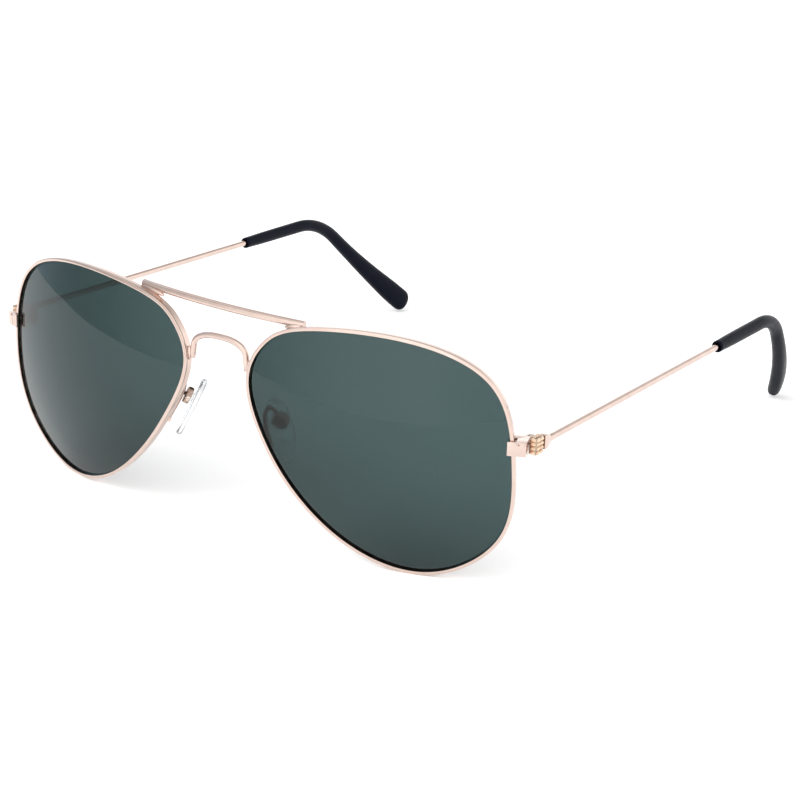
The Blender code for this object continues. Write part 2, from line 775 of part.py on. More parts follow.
def pad_outline(x_scale, y_scale, steps=28):
    """Soft D shape: fuller towards the bottom and towards the back."""
    ring = []
    for k in range(steps):
        angle = math.tau * k / steps
        x = math.copysign(abs(math.cos(angle)) ** 0.85, math.cos(angle))
        y = math.copysign(abs(math.sin(angle)) ** 0.9, math.sin(angle))
        fullness = 1.0 - 0.12 * y
        ring.append((x * fullness * x_scale * PAD_WIDTH / 2, y * y_scale * PAD_LENGTH / 2))
    return ring


def behind_pad(depth):
    """Matrix at the boss, `depth` behind the middle of the pad's thickness, with the pad's own axes."""
    return pad_matrix() @ Matrix.Translation((0.0, PAD_BOSS_RAISE, -depth))


def pad_screw_place():
    """Matrix on the rocking axis behind the pad, Z along the pad's width."""
    return behind_pad(PAD_AXIS_DEPTH) @ Matrix.Rotation(math.pi / 2, 4, "Y")


def make_nose_pad():
    place = pad_matrix()
    levels = ((-0.5, 0.80, 0.86), (-0.2, 0.97, 0.98), (0.15, 1.0, 1.0), (0.5, 0.82, 0.90))
    rings = []
    for level, x_scale, y_scale in levels:
        z = level * PAD_THICKNESS
        rings.append([place @ Vector((x, y, z)) for x, y in pad_outline(x_scale, y_scale)])
    pad = add_object("nose_pad_left", loft(rings), PAD, origin=pad_screw_place().translation)
    size = (PAD_BOSS_WIDTH, PAD_BOSS_HEIGHT, PAD_BOSS_END)
    boss = add_object("pad_boss", box_mesh(size, behind_pad(PAD_BOSS_END / 2)), PAD)
    pad = combine(pad, boss, "UNION")
    bore_mesh = cylinder_mesh(PAD_BORE_RADIUS, 4 * MM, pad_screw_place(), 8)
    bore = as_cutter(add_object("pad_boss_bore", bore_mesh, PAD))
    return combine(pad, bore, "DIFFERENCE")


def make_pad_box():
    """Round box with a slot for the pad's boss, closed at the back where the arm is soldered on."""
    middle = behind_pad((PAD_BOX_FRONT + PAD_BOX_BACK) / 2)
    disc = cylinder_mesh(PAD_BOX_RADIUS, PAD_BOX_BACK - PAD_BOX_FRONT, middle, 16)
    box = add_object("pad_box_left", disc, METAL)
    add_bevel(box, 0.3 * MM)
    box = freeze(box)
    slot_size = (PAD_SLOT_WIDTH, 4 * PAD_BOX_RADIUS, 2 * (PAD_SLOT_END - PAD_BOX_FRONT))
    slot_mesh = box_mesh(slot_size, behind_pad(PAD_BOX_FRONT))
    slot = as_cutter(add_object("pad_box_slot", slot_mesh, METAL))
    box = combine(box, slot, "DIFFERENCE")
    bore_mesh = cylinder_mesh(PAD_BORE_RADIUS, 3 * PAD_BOX_RADIUS, pad_screw_place(), 8)
    bore = as_cutter(add_object("pad_box_bore", bore_mesh, METAL))
    return combine(box, bore, "DIFFERENCE")


def make_pad_screw():
    place = pad_screw_place() @ Matrix.Translation((0.0, 0.0, PAD_BOX_RADIUS + 0.02 * MM))
    return add_slotted_screw(
        "pad_screw_left", PAD_SCREW_RADIUS, 0.6 * MM, 0.3 * MM, 2 * PAD_BOX_RADIUS, place
    )


def make_pad_arm():
    """Wire from the back of the rim, up and over in a loop, down to the back of the pad box."""
    rim = edge_frame(ARM_TURN)
    start = edge_to_world(rim, RIM_WIDTH / 2, RIM_DEPTH + ARM_RADIUS + PART_GAP)
    loop = [front_to_world(*(value * MM for value in place)) for place in ARM_LOOP]
    box_back = behind_pad(PAD_BOX_BACK + ARM_RADIUS + PART_GAP)
    corners = [start, *loop, box_back.translation]
    return wire("pad_arm_left", smooth_path(corners, 4), ARM_RADIUS, METAL)


# ---- Assembly ---------------------------------------------------------------------------------------

clear_scene()
PARTS = new_collection("aviator_sunglasses")
CUTTERS = new_collection("cutters")
CUTTERS.hide_render = True
METAL = new_material("rose_gold", (0.86, 0.68, 0.58), 0.18, metallic=1.0)
ORNAMENT = new_material("warm_gold", (0.82, 0.56, 0.38), 0.22, metallic=1.0)
SCREW = new_material("screw_metal", (0.78, 0.70, 0.64), 0.28, metallic=1.0)
LENS = new_material("grey_green_lens", (0.08, 0.11, 0.10), 0.05, alpha=0.85)
RUBBER = new_material("black_tip", (0.02, 0.02, 0.025), 0.45)
PAD = new_material("clear_pad", (0.9, 0.92, 0.93), 0.1, alpha=0.4)

make_bridge()
make_brow_bar()
sided = [
    make_rim(),
    make_lens(),
    make_endpiece(),
    make_corner_ornament(),
    *make_closing_blocks(),
    make_front_hinge(),
    make_temple_hinge(),
    make_hinge_screw(),
    make_temple(),
    make_temple_tip(),
    make_nose_pad(),
    make_pad_box(),
    make_pad_screw(),
    make_pad_arm(),
]
for piece in sided:
    mirrored(piece, piece.name.replace("_left", "_right"))
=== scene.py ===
"""Looks of the aviator sunglasses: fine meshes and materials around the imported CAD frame.

Lengths are in metres and +Z is up. Pieces are made for the +X side, then mirrored to the other side.
"""

import json
import math

import bmesh
import bpy
import numpy as np
from mathutils import Matrix, Vector


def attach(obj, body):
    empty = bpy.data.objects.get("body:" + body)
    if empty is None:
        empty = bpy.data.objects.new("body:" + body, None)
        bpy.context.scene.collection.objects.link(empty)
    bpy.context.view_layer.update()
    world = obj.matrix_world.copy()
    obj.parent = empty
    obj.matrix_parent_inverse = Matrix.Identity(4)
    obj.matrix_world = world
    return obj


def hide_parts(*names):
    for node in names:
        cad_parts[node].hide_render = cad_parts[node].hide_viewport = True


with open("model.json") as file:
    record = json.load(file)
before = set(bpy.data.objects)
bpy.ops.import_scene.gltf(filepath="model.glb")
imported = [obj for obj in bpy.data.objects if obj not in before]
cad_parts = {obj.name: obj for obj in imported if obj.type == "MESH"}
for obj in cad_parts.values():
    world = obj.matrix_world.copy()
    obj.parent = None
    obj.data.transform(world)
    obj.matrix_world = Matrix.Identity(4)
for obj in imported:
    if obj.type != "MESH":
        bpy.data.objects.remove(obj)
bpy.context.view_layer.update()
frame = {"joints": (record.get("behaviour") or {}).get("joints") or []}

MM = 0.001
ROUND_STEPS = 40
SHARP_EDGE = 30.0  # degrees between faces, past which an edge is drawn sharp
SAME_POINT = 1e-8
NO_REACH = 1e-6  # reach of a soldered tone that touches no point of the piece

# Design values shared with the CAD model, relative to the middle of the front
HINGE_X = 63.2 * MM
HINGE_Y = 15.9 * MM
HINGE_Z = 5.2 * MM
LENS_CENTRE_X = 36.45 * MM
FACE_WRAP = math.radians(11.2)
FRONT_TILT = math.radians(3.0)
# Control corners of the rim's B-spline, in millimetres out from and up from the lens centre
OUTLINE_CORNERS = (
    (28.1, 1.2), (26.0, 18.8), (6.0, 25.2), (-18.5, 22.9), (-24.8, 18.5), (-29.7, 10.2),
    (-23.1, -2.7), (-17.6, -10.3), (-9.2, -18.4), (1.9, -24.2), (14.1, -24.8), (27.8, -14.8),
)
BASE_CURVE_RADIUS = 90.0 * MM
RIM_WIDTH = 0.72 * MM
RIM_DEPTH = 1.9 * MM
RIM_LEAN = 0.5
RIM_SPLIT_HEIGHT = 4.8 * MM
RIM_STEPS = 260
LENS_THICKNESS = 1.2 * MM
LENS_IN_GROOVE = 0.28 * MM
LENS_SET_BACK = 0.55 * MM

hinge_place = {j["name"]: Vector(j["pos_m"]) for j in frame["joints"]}["temple_fold_left"]
ORIGIN = hinge_place - Vector((HINGE_X, HINGE_Y, HINGE_Z))


def at_front(x, y, z):
    return ORIGIN + Vector((x, y, z))


# ---- Materials --------------------------------------------------------------------------------------

def node_material(name):
    material = bpy.data.materials.new(name)
    material.use_nodes = True
    tree = material.node_tree
    return material, tree, tree.nodes["Principled BSDF"]


def noise(tree, scale, detail=3.0, stretch=None):
    coords = tree.nodes.new("ShaderNodeTexCoord")
    source = coords.outputs["Object"]
    if stretch:
        mapping = tree.nodes.new("ShaderNodeMapping")
        mapping.inputs["Scale"].default_value = stretch
        tree.links.new(source, mapping.inputs["Vector"])
        source = mapping.outputs["Vector"]
    texture = tree.nodes.new("ShaderNodeTexNoise")
    texture.inputs["Scale"].default_value = scale
    texture.inputs["Detail"].default_value = detail
    tree.links.new(source, texture.inputs["Vector"])
    return texture.outputs["Fac"]


def ranged(tree, value, low, high, start=0.3, end=0.7):
    node = tree.nodes.new("ShaderNodeMapRange")
    node.inputs["From Min"].default_value = start
    node.inputs["From Max"].default_value = end
    node.inputs["To Min"].default_value = low
    node.inputs["To Max"].default_value = high
    tree.links.new(value, node.inputs["Value"])
    return node.outputs["Result"]


def mixed(tree, factor, first, second):
    node = tree.nodes.new("ShaderNodeMix")
    node.data_type = "RGBA"
    tree.links.new(factor, node.inputs["Factor"])
    for value, socket in ((first, node.inputs["A"]), (second, node.inputs["B"])):
        if isinstance(value, tuple):
            socket.default_value = (*value, 1.0)
        else:
            tree.links.new(value, socket)
    return node.outputs["Result"]


def bumped(tree, shader, height, strength, distance):
    bump = tree.nodes.new("ShaderNodeBump")
    bump.inputs["Strength"].default_value = strength
    bump.inputs["Distance"].default_value = distance
    tree.links.new(height, bump.inputs["Height"])
    tree.links.new(bump.outputs["Normal"], shader.inputs["Normal"])


def metal(name, colour, deep, solder, rough_low, rough_high):
    """Plated metal: slight colour drift, polishing marks, a darker, redder tone where it was soldered, the
    same tone as painted shade on the ornament's front studs, and painted shade in dark brown where the
    'shade' attribute is set.
    """
    material, tree, shader = node_material(name)
    shader.inputs["Metallic"].default_value = 1.0
    drift = ranged(tree, noise(tree, 350.0), 0.0, 1.0)
    plain = mixed(tree, drift, colour, deep)
    heat = tree.nodes.new("ShaderNodeAttribute")
    heat.attribute_name = "heat"
    shade = tree.nodes.new("ShaderNodeAttribute")
    shade.attribute_name = "shade"
    blotch = ranged(tree, noise(tree, 2600.0, 4.0), 0.35, 1.0, 0.35, 0.6)
    # Darker, redder tone where the attribute read above is set: at real solder joints, and as painted shade
    # on the ornament's front studs.
    solder_and_shade_mask = tree.nodes.new("ShaderNodeMath")
    solder_and_shade_mask.operation = "MULTIPLY"
    tree.links.new(heat.outputs["Fac"], solder_and_shade_mask.inputs[0])
    tree.links.new(blotch, solder_and_shade_mask.inputs[1])
    with_solder_and_shade = mixed(tree, solder_and_shade_mask.outputs["Value"], plain, solder)
    # Painted shade: where the 'shade' attribute is set, the colour goes towards dark brown, broken up by
    # noise.
    painted_shade_mask = tree.nodes.new("ShaderNodeMath")
    painted_shade_mask.operation = "MULTIPLY"
    tree.links.new(shade.outputs["Fac"], painted_shade_mask.inputs[0])
    tree.links.new(ranged(tree, noise(tree, 900.0), 0.72, 1.0), painted_shade_mask.inputs[1])
    with_painted_shade = mixed(tree, painted_shade_mask.outputs["Value"], with_solder_and_shade, (0.030, 0.018, 0.013))
    tree.links.new(with_painted_shade, shader.inputs["Base Color"])
    tree.links.new(ranged(tree, noise(tree, 1800.0), rough_low, rough_high), shader.inputs["Roughness"])
    bumped(tree, shader, noise(tree, 2500.0, 4.0, (1.0, 0.25, 1.0)), 0.06, 0.00002)
    return material


METAL = metal("rose_gold_wire", (0.69, 0.55, 0.49), (0.64, 0.50, 0.44), (0.38, 0.15, 0.07), 0.10, 0.19)
# The ornament's solder colour is used only as painted shade on its lower front studs, next to the endpiece
# plate.
ORNAMENT = metal("warm_gold_studs", (0.86, 0.68, 0.53), (0.66, 0.46, 0.31), (0.42, 0.19, 0.08), 0.04, 0.10)
# Painted shade: a darker copy of the rose-gold metal for the pad boxes and arms, standing in for the shade
# they sit in behind the lens.
SHADED_PAD_METAL = metal("pad_hardware_painted_shade", (0.46, 0.35, 0.29), (0.34, 0.23, 0.18), (0.20, 0.09, 0.05), 0.14, 0.28)
SCREW = metal("plated_screws", (0.66, 0.56, 0.50), (0.58, 0.48, 0.42), (0.4, 0.25, 0.2), 0.16, 0.30)


def lens_material():
    """Tinted lens: the tint passes through the body, with faint smears on the surface."""
    material, tree, shader = node_material("grey_green_tint")
    shader.inputs["Transmission Weight"].default_value = 1.0
    shader.inputs["IOR"].default_value = 1.38
    tint = ranged(tree, noise(tree, 30.0, 1.0), 0.0, 1.0, 0.2, 0.8)
    square_on = mixed(tree, tint, (0.036, 0.070, 0.069), (0.040, 0.077, 0.076))
    # Darker at a slant: partly the longer path through the tinted glass, and made stronger than that as
    # painted shade.
    slant = tree.nodes.new("ShaderNodeLayerWeight")
    slant.inputs["Blend"].default_value = 0.5
    longer_path_and_shade = ranged(tree, slant.outputs["Facing"], 0.0, 1.0, 0.06, 0.40)
    tree.links.new(mixed(tree, longer_path_and_shade, square_on, (0.009, 0.023, 0.025)), shader.inputs["Base Color"])
    smear = ranged(tree, noise(tree, 90.0, 5.0, (1.0, 1.0, 2.5)), 0.0, 0.035, 0.45, 0.75)
    tree.links.new(smear, shader.inputs["Roughness"])
    return material


def tip_material():
    """Satin black moulding with a fine mould texture."""
    material, tree, shader = node_material("black_tip_satin")
    shader.inputs["IOR"].default_value = 1.5
    shader.inputs["Specular IOR Level"].default_value = 0.06
    drift = ranged(tree, noise(tree, 220.0), 0.0, 1.0)
    black = mixed(tree, drift, (0.002, 0.003, 0.008), (0.003, 0.004, 0.010))
    tree.links.new(black, shader.inputs["Base Color"])
    tree.links.new(ranged(tree, noise(tree, 1200.0, 4.0), 0.30, 0.42), shader.inputs["Roughness"])
    bumped(tree, shader, noise(tree, 5200.0, 2.0), 0.08, 0.00003)
    return material


def pad_material():
    """Clear soft plastic with a slight haze."""
    material, tree, shader = node_material("clear_pad_plastic")
    shader.inputs["Transmission Weight"].default_value = 1.0
    shader.inputs["IOR"].default_value = 1.43
    drift = ranged(tree, noise(tree, 400.0), 0.0, 1.0)
    tree.links.new(mixed(tree, drift, (0.93, 0.95, 0.97), (0.97, 0.98, 0.99)), shader.inputs["Base Color"])
    tree.links.new(ranged(tree, noise(tree, 700.0), 0.08, 0.22), shader.inputs["Roughness"])
    return material


LENS = lens_material()
TIP = tip_material()
PAD = pad_material()


# ---- Mesh helpers -----------------------------------------------------------------------------------

def finish_mesh(bm, name, material, sharp=SHARP_EDGE):
    bmesh.ops.remove_doubles(bm, verts=bm.verts, dist=SAME_POINT)
    bmesh.ops.recalc_face_normals(bm, faces=bm.faces)
    mesh = bpy.data.meshes.new(name)
    bm.to_mesh(mesh)
    bm.free()
    mesh.shade_smooth()
    mesh.set_sharp_from_angle(angle=math.radians(sharp))
    mesh.materials.append(material)
    obj = bpy.data.objects.new(name, mesh)
    bpy.context.scene.collection.objects.link(obj)
    return obj


def frozen(obj):
    """The object with its modifiers applied."""
    bpy.context.view_layer.update()
    graph = bpy.context.evaluated_depsgraph_get()
    mesh = bpy.data.meshes.new_from_object(obj.evaluated_get(graph))
    obj.modifiers.clear()
    obj.data = mesh
    mesh.shade_smooth()
    mesh.set_sharp_from_angle(angle=math.radians(SHARP_EDGE))
    return obj


def bevelled(obj, width, segments=3, angle=30.0):
    bevel = obj.modifiers.new("Bevel", "BEVEL")
    bevel.width = width
    bevel.segments = segments
    bevel.limit_method = "ANGLE"
    bevel.angle_limit = math.radians(angle)
    bevel.harden_normals = False
    return frozen(obj)


def boolean(obj, other, operation):
    cut = obj.modifiers.new("Boolean", "BOOLEAN")
    cut.operation = operation
    cut.solver = "EXACT"
    cut.object = other
    obj = frozen(obj)
    bpy.data.objects.remove(other, do_unlink=True)
    return obj


def loft_mesh(rings):
    """Skin over rings of points, with a face over each end."""
    bm = bmesh.new()
    rows = [[bm.verts.new(point) for point in ring] for ring in rings]
    size = len(rows[0])
    for first, second in zip(rows, rows[1:]):
        for i in range(size):
            j = (i + 1) % size
            bm.faces.new((first[i], first[j], second[j], second[i]))
    bm.faces.new(rows[0])
    bm.faces.new(reversed(rows[-1]))
    return bm


def rounded(corners, steps=4):
    """Closed outline with an arc at each corner, given as (x, y, radius)."""
    points = []
    count = len(corners)
    for i, (x, y, radius) in enumerate(corners):
        here = Vector((x, y))
        before = (Vector(corners[i - 1][:2]) - here).normalized()
        after = (Vector(corners[(i + 1) % count][:2]) - here).normalized()
        start, end = here + before * radius, here + after * radius
        for k in range(steps + 1):
            t = k / steps
            points.append(start.lerp(here, t).lerp(here.lerp(end, t), t))
    return [(p.x, p.y) for p in points]


def sweep(name, points, radii, material, sides=24, dome=0.6):
    """Round wire along points, with domed ends."""
    points = [Vector(p) for p in points]
    count = len(points)
    if isinstance(radii, float):
        radii = [radii] * count
    rings = []
    side = None
    for i, point in enumerate(points):
        way = (points[min(i + 1, count - 1)] - points[max(i - 1, 0)]).normalized()
        if side is None:
            guess = Vector((0, 0, 1)) if abs(way.z) < 0.8 else Vector((1, 0, 0))
            side = way.cross(guess).normalized()
        side = (side - way * side.dot(way)).normalized()
        up = side.cross(way)
        stations = [(point, radii[i])]
        if i in (0, count - 1):
            sign = -1 if i == 0 else 1
            stations = []
            for lean in (0.0, 30.0, 55.0, 75.0):
                turn = math.radians(lean)
                centre = point + way * sign * radii[i] * dome * math.sin(turn)
                stations.append((centre, radii[i] * math.cos(turn)))
            if i == 0:
                stations.reverse()
        for centre, radius in stations:
            rings.append([
                centre + side * radius * math.cos(math.tau * k / sides)
                + up * radius * math.sin(math.tau * k / sides)
                for k in range(sides)
            ])
    return finish_mesh(loft_mesh(rings), name, material, 50.0)


def smooth_path(corners, steps):
    """Points of a Catmull-Rom curve through the corners."""
    corners = [Vector(c) for c in corners]
    ends = [2 * corners[0] - corners[1]] + corners + [2 * corners[-1] - corners[-2]]
    points = []
    for a, b, c, d in zip(ends, ends[1:], ends[2:], ends[3:]):
        for k in range(steps):
            t = k / steps
            points.append(
                0.5 * (2 * b + (c - a) * t + (2 * a - 5 * b + 4 * c - d) * t * t
                       + (3 * b - a - 3 * c + d) * t ** 3)
            )
    points.append(corners[-1])
    return points


def turned(name, profile, matrix, material):
    """Solid turned about the matrix's Z from an (r, z) profile that starts and ends on the axis."""
    bm = bmesh.new()
    verts = [bm.verts.new((r, 0.0, z)) for r, z in profile]
    edges = [bm.edges.new(pair) for pair in zip(verts, verts[1:])]
    bmesh.ops.spin(
        bm, geom=verts + edges, axis=(0, 0, 1), cent=(0, 0, 0), angle=math.tau, steps=ROUND_STEPS,
        use_merge=True,
    )
    bmesh.ops.remove_doubles(bm, verts=bm.verts, dist=SAME_POINT)
    bmesh.ops.transform(bm, matrix=matrix, verts=bm.verts)
    return finish_mesh(bm, name, material)


def cylinder(name, radius, length, matrix, material, edge=0.0):
    half = length / 2
    profile = [(0.0, half), (radius - edge, half)]
    if edge:
        profile += [(radius - 0.3 * edge, half - 0.3 * edge), (radius, half - edge), (radius, edge - half),
                    (radius - 0.3 * edge, 0.3 * edge - half), (radius - edge, -half)]
    else:
        profile += [(radius, -half)]
    return turned(name, profile + [(0.0, -half)], matrix, material)


def block(name, size, matrix, material):
    bm = bmesh.new()
    bmesh.ops.create_cube(bm, size=1.0)
    bmesh.ops.scale(bm, vec=size, verts=bm.verts)
    bmesh.ops.transform(bm, matrix=matrix, verts=bm.verts)
    return finish_mesh(bm, name, material)


def solder_and_shade_near(obj, places, reach):
    """Marks each point by its nearness to the given places, for the metal's darker, redder tone: soldered
    joints and the rivet pit, and on the ornament a spot of painted shade.
    """
    co = np.array([v.co for v in obj.data.vertices])
    heat = np.zeros(len(co))
    for place in places:
        far = np.linalg.norm(co - np.array(place), axis=1)
        heat = np.maximum(heat, np.clip(1.6 * (1.0 - far / reach), 0.0, 1.0))
    attribute = obj.data.attributes.get("heat") or obj.data.attributes.new("heat", "FLOAT", "POINT")
    attribute.data.foreach_set("value", heat.astype(np.float32))
    return obj


def axes_matrix(along, across, centre):
    x = Vector(along).normalized()
    z = x.cross(Vector(across)).normalized()
    y = z.cross(x)
    matrix = Matrix((x, y, z)).transposed().to_4x4()
    matrix.translation = Vector(centre)
    return matrix


# ---- Where a piece goes -----------------------------------------------------------------------------

def placed(obj, body, nodes=()):
    if nodes:
        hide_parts(*nodes)
    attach(obj, body)
    return obj


def both_sides(obj, body, nodes=()):
    """Places a piece named ..._left on the +X side, and its mirror image on the other side."""
    mesh = obj.data.copy()
    mesh.transform(Matrix.Scale(-1.0, 4, Vector((1.0, 0.0, 0.0))))
    mesh.flip_normals()
    twin = bpy.data.objects.new(obj.name.replace("_left", "_right"), mesh)
    bpy.context.scene.collection.objects.link(twin)
    other = [node.replace("_left", "_right") for node in nodes]
    placed(obj, body, nodes)
    placed(twin, body.replace("_left", "_right"), other)


# ---- The front's geometry ---------------------------------------------------------------------------

def lens_to_world(u, v, w):
    swung = Matrix.Rotation(FACE_WRAP, 3, "Z") @ Vector((u, w, v))
    swung.x += LENS_CENTRE_X
    return ORIGIN + Matrix.Rotation(FRONT_TILT, 3, "X") @ swung


def outline_point(turn):
    corners = len(OUTLINE_CORNERS)
    first = math.floor(turn)
    f = turn - first
    weights = (
        (1 - f) ** 3 / 6,
        (3 * f ** 3 - 6 * f ** 2 + 4) / 6,
        (-3 * f ** 3 + 3 * f ** 2 + 3 * f + 1) / 6,
        f ** 3 / 6,
    )
    u = sum(w * OUTLINE_CORNERS[(first + k - 1) % corners][0] for k, w in enumerate(weights))
    v = sum(w * OUTLINE_CORNERS[(first + k - 1) % corners][1] for k, w in enumerate(weights))
    return u * MM, v * MM


def split_turn():
    low, high = 0.0, 1.0
    for _ in range(40):
        middle = (low + high) / 2
        if outline_point(middle)[1] < RIM_SPLIT_HEIGHT:
            low = middle
        else:
            high = middle
    return low


def sag(u, v):
    return BASE_CURVE_RADIUS - math.sqrt(BASE_CURVE_RADIUS ** 2 - u * u - v * v)


def edge_frame(turn):
    u, v = outline_point(turn)
    ahead_u, ahead_v = outline_point(turn + 0.01)
    point = Vector((u, v, sag(u, v)))
    back = (Vector((0.0, 0.0, BASE_CURVE_RADIUS)) - point).normalized()
    back = back.lerp(Vector((0.0, 0.0, 1.0)), 1.0 - RIM_LEAN)
    back.normalize()
    outward = Vector((ahead_u - u, ahead_v - v, 0.0)).cross(Vector((0.0, 0.0, 1.0)))
    outward = (outward - back * outward.dot(back)).normalized()
    return point, outward, back


def edge_to_world(place, across, depth):
    point, outward, back = place
    found = point + outward * across + back * depth
    return lens_to_world(*found)


def rim_point(turn, across, depth):
    return edge_to_world(edge_frame(turn), across, depth)


SPLIT = split_turn()
CORNERS = len(OUTLINE_CORNERS)


def turn_where(test, start, end, steps=400):
    """The turn between start and end at which a rim point comes nearest to passing the test."""
    turns = np.linspace(start, end, steps)
    return min(turns, key=lambda t: abs(test(rim_point(t, RIM_WIDTH, RIM_DEPTH / 2))))


# ---- Rims and lenses --------------------------------------------------------------------------------

def make_rim():
    """Grooved wire with soft corners and a fine engraved line round its outer wall; the line and the inner
    wall carry painted shade.
    """
    w, d = RIM_WIDTH, RIM_DEPTH
    line = 0.42 * MM
    lip = LENS_SET_BACK + 0.07 * MM
    plain_corners = (
        (0.0, 0.0, 0.10 * MM),
        (w, 0.0, 0.14 * MM),
        (w, line - 0.12 * MM, 0.01 * MM),
        (w - 0.07 * MM, line, 0.02 * MM),
        (w, line + 0.12 * MM, 0.01 * MM),
        (w, d, 0.16 * MM),
        (0.0, d, 0.08 * MM),
        (0.0, d - 0.2 * MM, 0.04 * MM),
        (0.4 * MM, d - 0.28 * MM, 0.04 * MM),
        (0.4 * MM, lip + 0.08 * MM, 0.04 * MM),
        (0.0, lip, 0.04 * MM),
    )
    section = rounded(plain_corners, 3)
    # Painted shade and reflection: the engraved line, and the inner wall with the groove, go dark brown. This
    # stands in for the shadow in the line and for the dark lens reflected in the inner wall.
    rim_painted_shade = [
        1.0 if across < w - 0.04 * MM and abs(depth - line) < 0.1 * MM and across > w / 2
        or across < 0.45 * MM and 0.09 * MM < depth < d - 0.1 * MM else 0.0
        for across, depth in section
    ]
    margin = 0.012
    rings = []
    for turn in np.linspace(SPLIT + margin, SPLIT + CORNERS - margin, RIM_STEPS):
        place = edge_frame(turn)
        rings.append([edge_to_world(place, across, depth) for across, depth in section])
    rim = finish_mesh(loft_mesh(rings), "rim_left_wire", METAL, 40.0)
    shade = rim.data.attributes.new("shade", "FLOAT", "POINT")
    shade.data.foreach_set("value", np.tile(np.array(rim_painted_shade, dtype=np.float32), RIM_STEPS))
    return rim


def make_lens():
    """Meniscus lens: two spherical skins and a bevelled edge that sits in the rim's groove."""
    around = 200
    front = LENS_SET_BACK
    turns = [SPLIT + CORNERS * k / around for k in range(around)]
    shares = [math.sin(math.pi / 2 * k / 14) for k in range(1, 15)]

    def skin_ring(share, depth):
        ring = []
        for turn in turns:
            u, v = outline_point(turn)
            u, v = u * share, v * share
            normal = Vector((-u, -v, BASE_CURVE_RADIUS - sag(u, v))).normalized()
            found = Vector((u, v, sag(u, v))) + normal * depth
            ring.append(lens_to_world(*found))
        return ring

    front_rings = [skin_ring(share, front) for share in shares]
    back_rings = [skin_ring(share, front + LENS_THICKNESS) for share in shares]
    places = [edge_frame(turn) for turn in turns]
    middle = front + LENS_THICKNESS / 2
    edge = [
        [edge_to_world(place, LENS_IN_GROOVE * reach, middle + LENS_THICKNESS * depth) for place in places]
        for reach, depth in ((0.45, -0.42), (1.0, -0.2), (1.0, 0.2), (0.45, 0.42))
    ]
    bm = bmesh.new()
    rows = [[bm.verts.new(p) for p in ring] for ring in front_rings + edge + back_rings[::-1]]
    for first, second in zip(rows, rows[1:]):
        for i in range(around):
            j = (i + 1) % around
            bm.faces.new((first[i], first[j], second[j], second[i]))
    for ring, depth in ((rows[0], front), (rows[-1], front + LENS_THICKNESS)):
        centre = bm.verts.new(lens_to_world(0.0, 0.0, depth))
        for i in range(around):
            bm.faces.new((centre, ring[i], ring[(i + 1) % around]))
    return finish_mesh(bm, "lens_left_glass", LENS, 40.0)


# ---- Bridge, brow bar and solder --------------------------------------------------------------------

BRIDGE_HALF_WIDTH = 6.55 * MM
BRIDGE_FOOT = (6.9 * MM, 0.35 * MM, 11.5 * MM)
BRIDGE_LEG = 2.1 * MM
BRIDGE_RISE = 3.55 * MM
BRIDGE_SQUARENESS = 2.5
BRIDGE_RADIUS = 0.65 * MM
BAR_CENTRE_X = -1.45 * MM
BAR_HALF_LENGTH = 20.05 * MM
BAR_Y = 1.5 * MM
BAR_END_Y = 3.0 * MM
BAR_Z = 23.2 * MM
BAR_LEAN = 0.45 * MM
BAR_RADIUS = 0.8 * MM
# Stretches of the outline, in corners, in which a solder bead looks for its place on the rim
BRIDGE_TURNS = (4.6, 6.2)
BAR_TURNS = (2.6, 4.3)


def make_bridge():
    foot_x, y, foot_z = BRIDGE_FOOT
    crown = []
    for k in range(1, 48):
        angle = math.pi * k / 48
        x = math.copysign(abs(math.cos(angle)) ** (2 / BRIDGE_SQUARENESS), -math.cos(angle))
        rise = math.sin(angle) ** (2 / BRIDGE_SQUARENESS)
        crown.append((BRIDGE_HALF_WIDTH * x, BRIDGE_LEG + BRIDGE_RISE * rise))
    legs = [(-foot_x, 0.0), (-foot_x + 0.2 * MM, 1.0 * MM)]
    path = legs + crown + [(-x, z) for x, z in reversed(legs)]
    points = [at_front(x, y, foot_z + z) for x, z in path]
    bridge = sweep("bridge_arch", points, BRIDGE_RADIUS, METAL, 28, 0.25)
    feet = [points[0], points[-1]]
    return solder_and_shade_near(bridge, feet, 3.4 * MM)


def bar_point(x):
    share = (x - BAR_CENTRE_X) / BAR_HALF_LENGTH
    return at_front(x, BAR_Y + (BAR_END_Y - BAR_Y) * share * share, BAR_Z - BAR_LEAN * share)


def make_brow_bar():
    points = [bar_point(BAR_CENTRE_X + BAR_HALF_LENGTH * k / 24) for k in range(-24, 25)]
    bar = sweep("brow_bar_wire", points, BAR_RADIUS, METAL, 28, 0.12)
    return solder_and_shade_near(bar, [points[0], points[-1]], 3.0 * MM)


def solder(name, points, size, material):
    """Spindle of solder along points, thick in the middle and drawn out at its ends."""
    count = len(points)
    radii = [size * (0.25 + 0.75 * math.sin(math.pi * k / (count - 1)) ** 0.7) for k in range(count)]
    bead = sweep(name, points, radii, material, 20, 0.5)
    return solder_and_shade_near(bead, points, 1.6 * MM)


def make_bridge_solder():
    foot_x, y, foot_z = BRIDGE_FOOT
    points = []
    for k in range(9):
        z = foot_z - 0.6 * MM + 3.4 * MM * k / 8
        turn = turn_where(lambda p: p.z - ORIGIN.z - z, *BRIDGE_TURNS)
        wall = rim_point(turn, RIM_WIDTH, 0.85 * MM)
        leg = at_front(foot_x - 0.1 * MM, y, z)
        points.append(wall.lerp(leg, 0.35))
    return solder("bridge_solder_left", points, 0.52 * MM, METAL)


def make_bar_solder(name, side, start, length):
    points = []
    for k in range(9):
        x = start + length * k / 8
        turn = turn_where(lambda p: p.x - x, *BAR_TURNS)
        wall = rim_point(turn, 0.6 * RIM_WIDTH, RIM_DEPTH)
        wall.x *= side
        points.append(wall.lerp(bar_point(side * x), 0.42))
    return solder(name, points, 0.62 * MM, METAL)


# ---- Endpiece, closing blocks and ornament ----------------------------------------------------------

